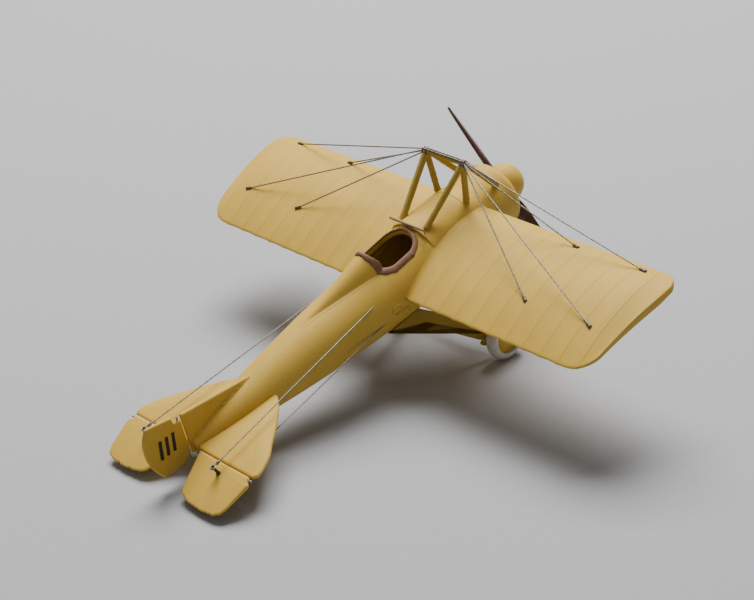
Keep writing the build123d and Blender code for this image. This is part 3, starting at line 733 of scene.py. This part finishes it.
def coaming():
    """A rolled leather strip lying round the cockpit's edge."""
    count = 220
    inner = cockpit_outline(-0.05, count)
    angles = full_turn(count, math.pi)
    starboard = np.clip(-np.sin(angles) * 1.6, 0, 1)
    rear = np.clip(-np.cos(angles) * 1.4, 0, 1)
    wide = COAMING_WIDTH + 0.30 * starboard + 0.26 * rear
    lumps = 1 + 0.05 * np.sin(angles * 7) + 0.04 * np.sin(angles * 17 + 1.3) + 0.03 * rng.normal(size=count)
    outward = outline_normals(inner)
    rings = []
    for k in full_turn(14):
        shift = wide * (1 + np.cos(k)) / 2 * 1.35 * lumps
        spot = inner + outward * shift[:, None]
        lift = COAMING_HALF_HEIGHT * math.sin(k) * (lumps if math.sin(k) > 0 else 1.0)
        z = coaming_skin(spot[:, 0], spot[:, 1]) + 0.03 + lift
        rings.append(np.column_stack([spot, z]))
    skin = np.concatenate(rings), grid_faces(len(rings), count, wrap_rows=True, wrap_columns=True)
    obj = piece("cockpit_coaming", skin, coaming_leather)


def seat_back_pad():
    """A curled leather pad with a rolled top, leaning on the seat's back."""
    rows = []
    columns = 34
    for j in range(columns):
        t = j / (columns - 1)
        y = SEAT_PAD_HALF_WIDTH * (2 * t - 1)
        pull = 0.12 * math.cos(2 * math.pi * t * 3) + 0.10 * (2 * t - 1) ** 2
        angles = np.radians(np.linspace(105, 245, 40))
        edge = 1 - 0.5 * abs(2 * t - 1) ** 8
        outer = SEAT_PAD_RADIUS - pull * 0.4
        inner = SEAT_PAD_RADIUS - (SEAT_PAD_DEPTH + 0.10 * np.cos(angles * 6)) * edge - 0.08
        centre = np.array([SEAT_PAD_CENTRE[0], y, SEAT_PAD_CENTRE[1]])
        front, back = [centre + np.column_stack([r * np.cos(angles), np.zeros(40), r * np.sin(angles)])
                       for r in (inner, outer)]
        rows.append(np.concatenate([front, back[::-1]]))
    obj = piece("seat_pad", loft(rows), seat_leather, sharp=70)


def windscreen():
    """A clear pane with a bound brown top edge."""
    x = DECK_REAR_X - 0.15
    corners = ((-1, SCREEN_FOOT_Z), (1, SCREEN_FOOT_Z), (1, SCREEN_TOP_Z), (-1, SCREEN_TOP_Z))
    outline = [(side * SCREEN_HALF_WIDTH, z) for side, z in corners]
    points = [(x + dx, y, z) for dx in (-0.09, 0.09) for y, z in outline]
    faces = [(0, 1, 2, 3), (7, 6, 5, 4)] + [(i, (i + 1) % 4, (i + 1) % 4 + 4, i + 4) for i in range(4)]
    piece("windscreen_pane", (points, faces), pane_clear, node_name="windscreen", sharp=30)
    skin = bar((x, -4.1, SCREEN_TOP_Z + 0.02), (x, 4.1, SCREEN_TOP_Z + 0.02), 0.42, 0.36, (1, 0, 0), 30, 0.08)
    piece("windscreen_edge", skin, trim_brown)


# ------------ nose
def cowl():
    """Cowl ring with a rounded front, a scribed joint and an opening for the bearing."""
    shoulder = arc_points((5.45, 4.5), 1.6, 88, 8, 16)
    outer = [(1.0, 6.08), (1.15, 6.05), (1.3, 6.08), (3.2, 6.1), (5.0, 6.1)] + list(shoulder)
    front = [(7.09, 4.3), (7.1, 3.9), (7.1, 2.2), (7.06, 1.95), (6.95, 1.9), (6.55, 1.9)]
    inner = [(6.5, 2.0), (6.5, 4.1), (5.4, 5.4), (1.0, 5.5)]
    piece("engine_cowl", lathe(outer + front + inner, 128), hull_paint, sharp=50)


def spinner():
    """The ball-shaped spinner and its backplate."""
    steps = np.radians(np.linspace(110, 0, 40))
    outer = [(SPINNER_CENTRE_X + SPINNER_RADIUS * math.cos(a), SPINNER_RADIUS * math.sin(a)) for a in steps]
    inner = [(SPINNER_CENTRE_X + SPINNER_INNER_RADIUS * math.cos(a), SPINNER_INNER_RADIUS * math.sin(a))
             for a in steps[::-1]]
    poles = [(outer[-1][0], 0.001), (inner[0][0], 0.001)]
    skin = lathe(outer[:-1] + poles + inner[1:])
    piece("spinner_dome", skin, spinner_paint, "propeller_body", sharp=60)
    plate = [(7.36, 0.65), (7.36, 2.95), (7.42, 3.08), (7.55, 3.18), (7.64, 3.18), (7.64, 0.65)]
    piece("spinner_backplate", lathe(plate), spinner_paint, "propeller_body", sharp=50)


def propeller():
    """Two thin varnished blades on a hub."""
    stations = np.array([(1.0, 1.4, 1.1, 58), (2.6, 1.5, 1.0, 57), (4.5, 2.2, 0.85, 55), (7.0, 2.5, 0.72, 52),
                         (10.0, 2.4, 0.62, 50), (12.8, 2.1, 0.52, 48), (15.2, 1.6, 0.42, 46),
                         (PROPELLER_RADIUS, 1.2, 0.36, 45)])
    radii = np.concatenate([np.linspace(1.0, 15.0, 40), PROPELLER_RADIUS - 1.5 * np.linspace(0.9, 0, 8) ** 2])
    chords = smooth_curve(radii, stations[:, 0], stations[:, 1])
    tip = np.clip((PROPELLER_RADIUS - radii) / 1.3, 0, 1)
    chords = chords * np.sqrt(1 - (1 - tip) ** 2 * 0.92)
    depths = smooth_curve(radii, stations[:, 0], stations[:, 2])
    pitches = np.radians(smooth_curve(radii, stations[:, 0], stations[:, 3]))
    angles = full_turn(28)
    rings = []
    for radius, chord, depth, pitch in zip(radii, chords, depths, pitches):
        u = chord / 2 * np.cos(angles)
        v = depth / 2 * np.sin(angles) * (1 - 0.35 * np.cos(angles))
        rings.append(np.stack([u * math.sin(pitch) - v * math.cos(pitch),
                               u * math.cos(pitch) + v * math.sin(pitch), np.full(28, radius)], 1))
    blade = loft(rings)
    other = (blade[0] * (1.0, -1.0, -1.0), blade[1])
    hub = lathe([(-0.68, 0.62), (-0.68, 1.45), (-0.55, 1.58), (0.55, 1.58), (0.68, 1.45), (0.68, 0.62)], 64)
    c = math.cos(PROPELLER_REST_ANGLE)
    s = math.sin(PROPELLER_REST_ANGLE)
    turn = np.array([[1, 0, 0], [0, c, s], [0, -s, c]])
    skin = moved(joined([blade, other, hub]), lambda points: points @ turn.T + (PROPELLER_X, 0, 0))
    piece("propeller", skin, blade_wood, "propeller_body", sharp=50)


# ------------ wings
def wing_mean_z(x, y):
    """Height of the wing's mean line; the tip panel flattens outwards."""
    out = np.clip((y - TIP_START) / (HALF_SPAN - TIP_START), 0, 1)
    camber = CAMBER + (TIP_CAMBER - CAMBER) * out
    f = np.clip(-x / CHORD, 0, 1)
    return LEADING_EDGE_Z + (TRAILING_EDGE_Z - LEADING_EDGE_Z) * f + 4 * camber * CHORD * f * (1 - f)


def wing_half_thickness(f):
    """Half thickness of the section at a fraction of the chord."""
    shape = 2.969 * np.sqrt(f) - 1.26 * f - 3.516 * f ** 2 + 2.843 * f ** 3 - 1.036 * f ** 4
    return THICKNESS * CHORD * np.maximum(shape, 0) * 0.5 + 0.13 * np.clip(f / 0.1, 0, 1)


def wing_surface(fraction, y):
    """A point on the wing's upper surface."""
    x = -CHORD * fraction
    return np.array([x, y, float(wing_mean_z(x, y) + wing_half_thickness(np.array(fraction)))])


def wing_edges(y):
    """Leading and trailing edge positions at a distance out: a raked tip with rounded corners."""
    reach = np.clip((HALF_SPAN - y) / TIP_FRONT_ROUNDING, 0, 1)
    leading = -TIP_FRONT_ROUNDING * (1 - np.sqrt(1 - (1 - reach) ** 2))
    rear_tip = HALF_SPAN - TIP_RAKE
    reach = np.clip((rear_tip - y) / TIP_REAR_ROUNDING, 0, 1)
    trailing = -CHORD + TIP_REAR_ROUNDING * (1 - np.sqrt(1 - (1 - reach) ** 2))
    beyond = np.clip((y - rear_tip) / TIP_RAKE, 0, 1)
    trailing = trailing + beyond * (CHORD - TIP_REAR_ROUNDING - TIP_FRONT_ROUNDING) * 0.97
    bay = (y - RIB_START) / RIB_PITCH
    scallop = 0.10 * np.abs(np.sin(math.pi * bay)) ** 0.7 * np.clip((y - 5.5) / 1.0, 0, 1)
    return leading, trailing + scallop * np.clip((rear_tip - y) / 3.0, 0, 1)


def wing(name, side):
    """A thin fabric wing: ribs stand a little proud, the cloth sags between them."""
    bays = np.arange(RIB_START, HALF_SPAN - 2.0, RIB_PITCH)
    near_ribs = np.concatenate([bays + d for d in (-0.3, -0.16, -0.08, 0, 0.08, 0.16, 0.3)])
    tip = HALF_SPAN - 4.0 * (1 - np.sin(np.linspace(0, math.pi / 2, 26)))
    ys = np.unique(np.round(np.concatenate([np.linspace(5.15, HALF_SPAN - 4.0, 130), near_ribs, tip]), 4))
    s = (1 - np.cos(np.linspace(0, math.pi, 56))) / 2
    rows = []
    for y in ys:
        leading, trailing = wing_edges(y)
        x = leading + (trailing - leading) * s
        f = np.clip(-x / CHORD, 0, 1)
        mean = wing_mean_z(x, y)
        local = np.minimum(s, 1 - s) * abs(trailing - leading)
        rounding = np.sqrt(np.clip(1 - (1 - np.clip(local / WING_EDGE_ROUNDING, 0, 1)) ** 2, 0, 1))
        to_tip = min((HALF_SPAN + 0.02 - y) / WING_EDGE_ROUNDING, 1)
        side_round = math.sqrt(max(1 - (1 - to_tip) ** 2, 0.01))
        half = (wing_half_thickness(f) + 0.03) * rounding * side_round
        nearest = np.min(np.abs(bays - y))
        rib = RIB_PROUD * math.exp(-(nearest / RIB_HALF_WIDTH) ** 2)
        sag = CLOTH_SAG * math.sin(math.pi * min(nearest / (RIB_PITCH / 2), 1) / 2) ** 2
        body = np.clip(np.minimum(s, 1 - s) / 0.08, 0, 1)
        relief = (rib - sag) * body * (1.0 if y < HALF_SPAN - 1.0 else 0.0)
        top = np.column_stack([x, np.full(len(x), y), mean + half + relief])
        bottom = np.column_stack([x, np.full(len(x), y), mean - half - relief * 0.5])
        rows.append(np.concatenate([top, bottom[::-1][1:-1]]))
    piece("wing_" + name, mirrored(loft(rows), side), wing_paint, sharp=60)


def wing_root(name, side):
    """A moulded fillet that runs from the hull's side onto the wing's upper surface."""
    curve = np.linspace(0, 1, 12)[:, None]
    rows = []
    for fraction in np.linspace(0.02, 0.99, 70):
        x, _, wing_top = wing_surface(fraction, 6.0)
        size = (0.75 + 0.55 * (1 - fraction)) * math.sqrt(min(fraction / 0.08, 1.0))
        radius = float(hull_radius(x))
        heights = np.array([wing_top + size, wing_top, wing_top - 0.2]) - float(hull_rise(x))
        hull_y = np.sqrt(radius ** 2 - heights ** 2)
        upper = np.array([hull_y[0] - 0.04, wing_top + size])
        corner = np.array([hull_y[1], wing_top + 0.02])
        outer = np.array([hull_y[1] + size, wing_top])
        arc = (1 - curve) ** 2 * upper + 2 * curve * (1 - curve) * corner + curve ** 2 * outer
        buried = np.array([[hull_y[1] + size, wing_top - 0.2], [hull_y[2] - 0.3, wing_top - 0.2]])
        section = np.concatenate([arc, buried])
        rows.append(np.column_stack([np.full(len(section), x), section]))
    piece("wing_root_" + name, mirrored(loft(rows), side), hull_paint, sharp=60)


# ------------ pylon and rigging
def pylon(name, side):
    """The three struts of one side."""
    top = np.array([APEX[0], APEX[1], APEX[2] + 0.05])
    struts = (("front", FRONT_FOOT, 0.0, 1.1, 0.85), ("rear", REAR_FOOT, -0.45, 1.15, 0.85),
              ("forward", COWL_FOOT, 0.45, 1.05, 0.8))
    for strut_name, foot, shift, width, thickness in struts:
        end = top + (shift, 0, -0.05)
        skin = bar(foot, end, width, thickness, (1, 0, 0), 18, 0.03, 0.12)
        piece("pylon_" + strut_name + "_" + name, mirrored(skin, side), strut_paint,
              node_name="pylon_" + strut_name + "_strut_" + name, sharp=50)


def crossbar():
    """The bar over the pylon, the wires along its top, and the wire wraps at its ends."""
    half = APEX[1] + 0.6
    z = APEX[2] + 0.4
    skin = bar((APEX[0], -half, z), (APEX[0], half, z), 0.82, 0.8, (1, 0, 0), 24, 0.02)
    piece("pylon_crossbar", skin, strut_paint, sharp=50)
    reach = half - 0.2
    wire_z = APEX[2] + 0.95
    along = [twisted_wire((APEX[0] + dx, -reach, wire_z), (APEX[0] + dx, reach, wire_z))
             for dx in (-0.18, 0.18)]
    piece("crossbar_wires", joined(along), wire_metal)
    wraps = [wrap((APEX[0], sy * (APEX[1] + dy), z), (0, 1, 0), 0.58, 1.6, 0.25, 0.11)
             for sy in (-1, 1) for dy in (0.45, -0.1)]
    piece("crossbar_wraps", joined(wraps), wire_metal)


def wing_rigging(name, side):
    """Four twisted wires from the crossbar's end to sockets on the wing."""
    wires = []
    for fraction, y, ahead, above in WING_WIRE_FEET:
        foot = wing_surface(fraction, y)
        top = np.array([APEX[0] + ahead * 0.19, APEX[1] + 0.45, APEX[2] + 0.4 + above * 0.19])
        wires.append(twisted_wire(foot, top))
    piece("wing_wires_" + name, mirrored(joined(wires), side), wire_metal)


def wire_sockets():
    """Dark tapered sockets where the wires meet the wings."""
    parts = []
    for side in (1.0, -1.0):
        for fraction, y, _, _ in WING_WIRE_FEET:
            foot = wing_surface(fraction, y)
            slope = unit(APEX - foot)
            path = foot + np.outer(np.linspace(-0.25, 0.95, 9), slope)
            sizes = np.array([0.36, 0.36, 0.32, 0.28, 0.27, 0.27, 0.26, 0.24, 0.17])
            parts.append(mirrored(sweep(path, sizes, 12), side))
    piece("wing_wire_sockets", joined(parts), socket_dark)


# ------------ tail
def drooped(points):
    """Tail shapes drawn level, turned down to the elevator's resting angle."""
    hinge = (HINGE_X, 0, TAIL_Z)
    return (np.asarray(points, float) - hinge) @ turn_about_y(ELEVATOR_DROOP).T + hinge


def stabiliser(name, side):
    """Fixed tailplane half with a soft leading edge."""
    rear_x = HINGE_X + 0.60
    lead = np.array([(-50.4, 1.2), (-50.7, 4.1), (-54.2, 8.1), (-58.7, 11.6), (-62.6, 14.3), (-64.2, 14.93)])
    y = np.linspace(1.2, 14.93, 70)
    x = smooth_curve(y, lead[:, 1], lead[:, 0])
    corner = arc_points((-64.9, 14.4), 0.62, 80, 150, 6)
    outline = np.concatenate([np.column_stack([x, y]), corner,
                              np.column_stack([np.full(60, rear_x), np.linspace(14.6, 1.2, 60)])])

    def thick(ring):
        return 0.40 - 0.10 * bump(ring[:, 0] - rear_x, 0.6)

    piece("stabiliser_" + name, mirrored(slab(outline, thick, 0.42, TAIL_Z), side), tail_paint, sharp=60)


def elevator(name, side):
    """Elevator with a worn, slightly chipped trailing edge."""
    corners = [(HINGE_X + 0.42, 2.3), (-72.1, 4.1), (-73.2, 4.7), (-73.85, 6.2), (-74.15, 9.4), (-74.0, 12.4),
               (-73.45, 13.7), (-72.2, 14.28), (-67.3, 14.98), (-66.95, 14.9),
               (-66.9, 14.3), (HINGE_X + 0.42, 14.28)]
    outline = eased_outline(corners, 0.3, 3)
    rear = np.clip((-72.8 - outline[:, 0]) / 0.6, 0, 1)
    outline[:, 0] += rear * 0.10 * np.abs(rng.normal(size=len(outline)))

    def thick(ring):
        return 0.42 - 0.20 * np.clip((HINGE_X - ring[:, 0]) / 8.0, 0, 1)

    skin = moved(slab(outline, thick, 0.35, TAIL_Z), drooped)
    piece("elevator_" + name, mirrored(skin, side), tail_paint, "elevator_" + name + "_body", sharp=60)


def horn(name, side):
    """Dark tapered horn through the elevator."""
    parts = []
    for direction in (1.0, -1.0):
        base = np.array([HORN[0], HORN[1], TAIL_Z + 0.40 * direction])
        heights = np.linspace(0, HORN_REACH - 0.45, 12)
        path = base + np.outer(heights, (0, 0, direction))
        sizes = 0.27 - 0.05 * np.linspace(0, 1, 12) + 0.14 * bump(heights, 0.25)
        sizes[-1] = 0.12
        parts.append(sweep(path, sizes, 14))
    skin = moved(joined(parts), drooped)
    piece("elevator_horn_" + name, mirrored(skin, side), horn_dark, "elevator_" + name + "_body",
          sharp=60)


def control_wires(name, side):
    """The two twisted wires from loops at the horn's ends into the hull's side."""
    for level, entry, reach in CONTROL_LINES:
        ring = drooped([(HORN[0], HORN[1], TAIL_Z + reach)])[0]
        slope = unit(entry - ring)
        wire = twisted_wire(ring + slope * 0.42, np.array(entry) + slope * 2.2, WIRE_RADIUS * 0.95)
        loop = wrap(ring, (0, 0, 1), 0.42, 1.5, 0.18, 0.10)
        knot = wrap(ring + slope * 1.1, slope, 0.20, 3.0, 0.2, 0.08)
        piece("elevator_wire_" + level + "_" + name, mirrored(joined([wire, loop, knot]), side), wire_metal,
              "wire_" + level + "_" + name + "_body")


def on_rudder(points):
    """Shapes drawn about an upright hinge at the origin, moved onto the rudder's hinge."""
    return np.asarray(points, float) @ turn_about_y(-RUDDER_TILT).T + RUDDER_FOOT


def upright(points):
    """A slab's plan turned to stand in the X-Z plane."""
    return np.stack([points[:, 0], points[:, 2], points[:, 1]], 1)


def fin():
    """Fixed fin with a soft top edge and rough filler along its foot."""
    top = on_rudder([(0.6, 0, 8.5)])[0]
    foot = on_rudder([(0.6, 0, 0.4)])[0]
    corners = [(-50.3, 3.9), (-51.3, 4.7), (top[0], top[2]), (foot[0], foot[2]), (-60.0, 1.0)]
    outline = eased_outline(corners, 0.3, 3)
    piece("fin", moved(slab(outline, 0.40, 0.38), upright), tail_paint, sharp=60)
    parts = []
    for side in (1.0, -1.0):
        xs = np.linspace(-52.0, -65.3, 60)
        z = hull_rise(xs) + np.sqrt(hull_radius(xs) ** 2 - 0.16)
        path = np.stack([xs, np.full(60, side * 0.42), z], 1)
        sizes = 0.24 + 0.05 * np.sin(xs * 3.1) + 0.05 * rng.normal(size=60)
        taper = np.clip((-51.6 - xs) / 4.0, 0.2, 1.0)
        parts.append(sweep(path, np.clip(sizes, 0.12, 0.4) * taper, 8))
    piece("fin_fillet", joined(parts), hull_paint)


def rudder():
    """Rudder with a raked top and a bulging rear edge, and slanted bars painted on its side."""
    rear = np.array([(10.3, -5.9), (8.7, -6.9), (6.2, -7.42), (3.3, -7.1), (-0.2, -5.4)])
    z = np.linspace(10.2, -0.15, 40)
    x = smooth_curve(z, rear[:, 0], rear[:, 1])
    front = [(-1.0, 0.0), (-0.95, 0.78), (0.40, 0.80), (0.40, 7.82), (-0.95, 7.84), (-1.0, 9.1)]
    outline = eased_outline(np.concatenate([np.column_stack([x, z]), front]), 0.3, 2)

    def thick(ring):
        return 0.42 - 0.18 * np.clip(-ring[:, 0] / 7.0, 0, 1)

    skin = moved(moved(slab(outline, thick, 0.36), upright), on_rudder)
    piece("rudder", skin, tail_paint, "rudder_body", sharp=60)
    bars = []
    for foot_x in (-2.3, -3.6, -4.9):
        start = np.array([foot_x, MARK_Y, MARK_Z])
        end = start + (MARK_SLANT, 0, MARK_HEIGHT)
        bars.append(bar(start, end, 0.62, 0.05, (1, 0, 0), 8, 0.02))
    skin = moved(joined(bars), on_rudder)
    piece("rudder_bars", skin, mark_black, "rudder_body", sharp=40)


def tail_skid():
    """Short blade under the tail, cut flat where it rests."""
    ground_z = float(-ORIGIN[2] / MM)
    corners = [(-58.3, -1.2), (-61.3, -0.9), (-64.0, -6.2), (-62.3, -7.0)]

    def rest_flat(points):
        standing = points @ TURN.T
        standing[:, 2] = np.maximum(standing[:, 2], ground_z)
        return standing @ TURN

    skin = moved(moved(slab(eased_outline(corners, 0.25, 2), 0.48, 0.2), upright), rest_flat)
    piece("tail_skid", skin, strut_paint, sharp=50)


# ------------ undercarriage
def on_frame(points):
    """Shapes drawn as (x, drop, out), moved onto the port leg frame, which leans outwards."""
    c = math.cos(FRAME_SPLAY)
    s = math.sin(FRAME_SPLAY)
    x, drop, out = np.asarray(points, float).T
    return np.stack([x, FRAME_ROOT[0] + drop * s + out * c, FRAME_ROOT[1] - drop * c + out * s], 1)


def leg_frames(name, side):
    """Front leg, flared rear leg and bottom rail of one side."""
    drop = (FRAME_ROOT[1] - AXLE[2]) / math.cos(FRAME_SPLAY)
    top = drop - 0.75
    low = drop + 0.75
    shapes = {"gear_front_leg_": [(-4.3, 0.2), (-2.0, 0.2), (-5.75, top), (-7.85, top)],
              "gear_rear_leg_": [(-27.2, 0.1), (-20.3, 3.1), (-16.0, 8.6), (-12.9, top), (-10.75, top),
                                 (-13.9, 8.2), (-17.6, 2.6), (-20.0, 0.1)],
              "gear_rail_": [(-13.2, top), (-5.6, top), (-5.05, top + 0.5), (-6.2, low), (-12.4, low),
                             (-13.55, top + 0.6)]}
    for base, corners in shapes.items():
        skin = slab(eased_outline(corners, 0.3, 2), 0.42, 0.25)
        piece(base + name, mirrored(moved(skin, on_frame), side), strut_paint, sharp=50)


def wheel(name, side):
    """Wheel with a dished cover, a moulded ring and a rubber tyre."""
    body = "wheel_" + name + "_body"
    centre = (AXLE[0], WHEEL_Y * side, AXLE[2])
    tread = list(arc_points((0.0, TYRE_RING_RADIUS), TYRE_SECTION, -12, 192, 30))
    rim = [(-0.9, 2.99), (0.9, 2.99)]
    skin = lathe(tread + rim, 96, centre, "y")
    piece("tyre_" + name, skin, tyre_white, body, sharp=60)
    dish = [(0.41, 2.97), (0.36, 2.8), (0.45, 2.6), (0.62, 1.6), (0.78, 0.95), (0.8, 0.85), (0.8, 0.42)]
    stations = [(side * u, r) for u, r in dish] + [(-side * u, r) for u, r in dish[::-1]]
    skin = lathe(stations, 96, centre, "y")
    piece("wheel_disc_" + name, skin, wheel_paint, body, sharp=50)


def axle_details():
    """Shock-cord wraps on the axle inboard of each rail, and the caps on its ends."""
    wraps = [wrap((AXLE[0], side * y, AXLE[2]), (0, 1, 0), 0.52, 3.2, 0.2, 0.13)
             for y in (7.55, 8.65) for side in (1.0, -1.0)]
    piece("axle_bindings", joined(wraps), cord_dark)
    profile = [(-0.24, 0.37), (-0.24, 0.6), (-0.12, 0.65), (0.1, 0.62), (0.22, 0.5), (0.24, 0.37)]
    caps = [lathe([(side * u, r) for u, r in profile], 48, (AXLE[0], side * (WHEEL_Y + 1.15), AXLE[2]), "y")
            for side in (1.0, -1.0)]
    piece("axle_caps", joined(caps), steel, sharp=50)


# ------------ building the model
def finish_cad_nodes():
    """Materials for the plain inner nodes that are shown as they are."""
    finishes = {interior: ("cockpit_floor", "pilot_seat", "firewall"),
                steel: ("propeller_shaft", "axle", "rudder_pin", "elevator_pin_port",
                        "elevator_pin_starboard")}
    for material, names in finishes.items():
        for name in names:
            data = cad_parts[name].data
            data.materials.clear()
            data.materials.append(material)


def build_model():
    finish_cad_nodes()
    for build in (deck, headrest, putty_marks, coaming, seat_back_pad, windscreen, cowl, spinner, propeller,
                  crossbar, wire_sockets, fin, rudder, tail_skid, axle_details):
        build()
    for name, side in SIDES:
        cut_cockpit(hull_half(name, side))
        for build in (wing, wing_root, pylon, wing_rigging, stabiliser, elevator, horn, control_wires,
                      leg_frames, wheel):
            build(name, side)


build_model()


# ------------ camera, light and floor
CAMERA_POSITION = (-168.3, -217.3, 198.4)
CAMERA_AXES = np.array([[0.67767, -0.68808, -0.25945],
                        [-0.58974, -0.29776, -0.75070],
                        [0.43928, 0.66173, -0.60757]])
FOCAL_PIXELS = 1970.0
IMAGE_WIDTH = 754.0
SENSOR_WIDTH = 36.0
LIGHT_POSITION = (0.25, 0.23, 0.60)
LIGHT_TARGET = (0.0, 0.0, 0.01)
LIGHT_SIZE = 0.44
LIGHT_POWER = 10.8
FILL_STRENGTH = 0.24
FLOOR_REACH = 3.0


def add_camera():
    """The photograph's viewpoint: rows of CAMERA_AXES point right, down and forward in the flying frame."""
    data = bpy.data.cameras.new("camera")
    data.sensor_width = SENSOR_WIDTH
    data.lens = FOCAL_PIXELS / IMAGE_WIDTH * SENSOR_WIDTH
    data.clip_start = 0.01
    camera = linked("camera", data)
    right, down, ahead = CAMERA_AXES @ TURN.T
    turn = Matrix((right, -down, -ahead)).transposed().to_4x4()
    camera.matrix_world = Matrix.Translation(Vector(fly([CAMERA_POSITION])[0])) @ turn
    bpy.context.scene.camera = camera


def add_light():
    """One large softbox, high up, ahead and to port."""
    data = bpy.data.lights.new("key", "AREA")
    data.size = LIGHT_SIZE
    data.energy = LIGHT_POWER
    light = linked("key", data)
    light.location = LIGHT_POSITION
    aim = Vector(LIGHT_TARGET) - Vector(LIGHT_POSITION)
    light.rotation_euler = aim.to_track_quat("-Z", "Y").to_euler()


def add_floor():
    mesh = bpy.data.meshes.new("floor")
    corners = [(x * FLOOR_REACH, y * FLOOR_REACH, 0) for x, y in ((-1, -1), (1, -1), (1, 1), (-1, 1))]
    mesh.from_pydata(corners, [], [(0, 1, 2, 3)])
    floor = linked("floor", mesh)
    material = plain("floor_paper", (0.355, 0.355, 0.362), (0.38, 0.38, 0.387), 0.6, (0.8, 0.9),
                     bump_strength=0.1)
    mesh.materials.append(material)


def add_world():
    world = bpy.data.worlds.new("studio")
    world.use_nodes = True
    background = world.node_tree.nodes["Background"]
    background.inputs["Color"].default_value = (0.95, 0.97, 1.0, 1.0)
    background.inputs["Strength"].default_value = FILL_STRENGTH
    bpy.context.scene.world = world


add_camera()
add_floor()
add_world()
add_light()
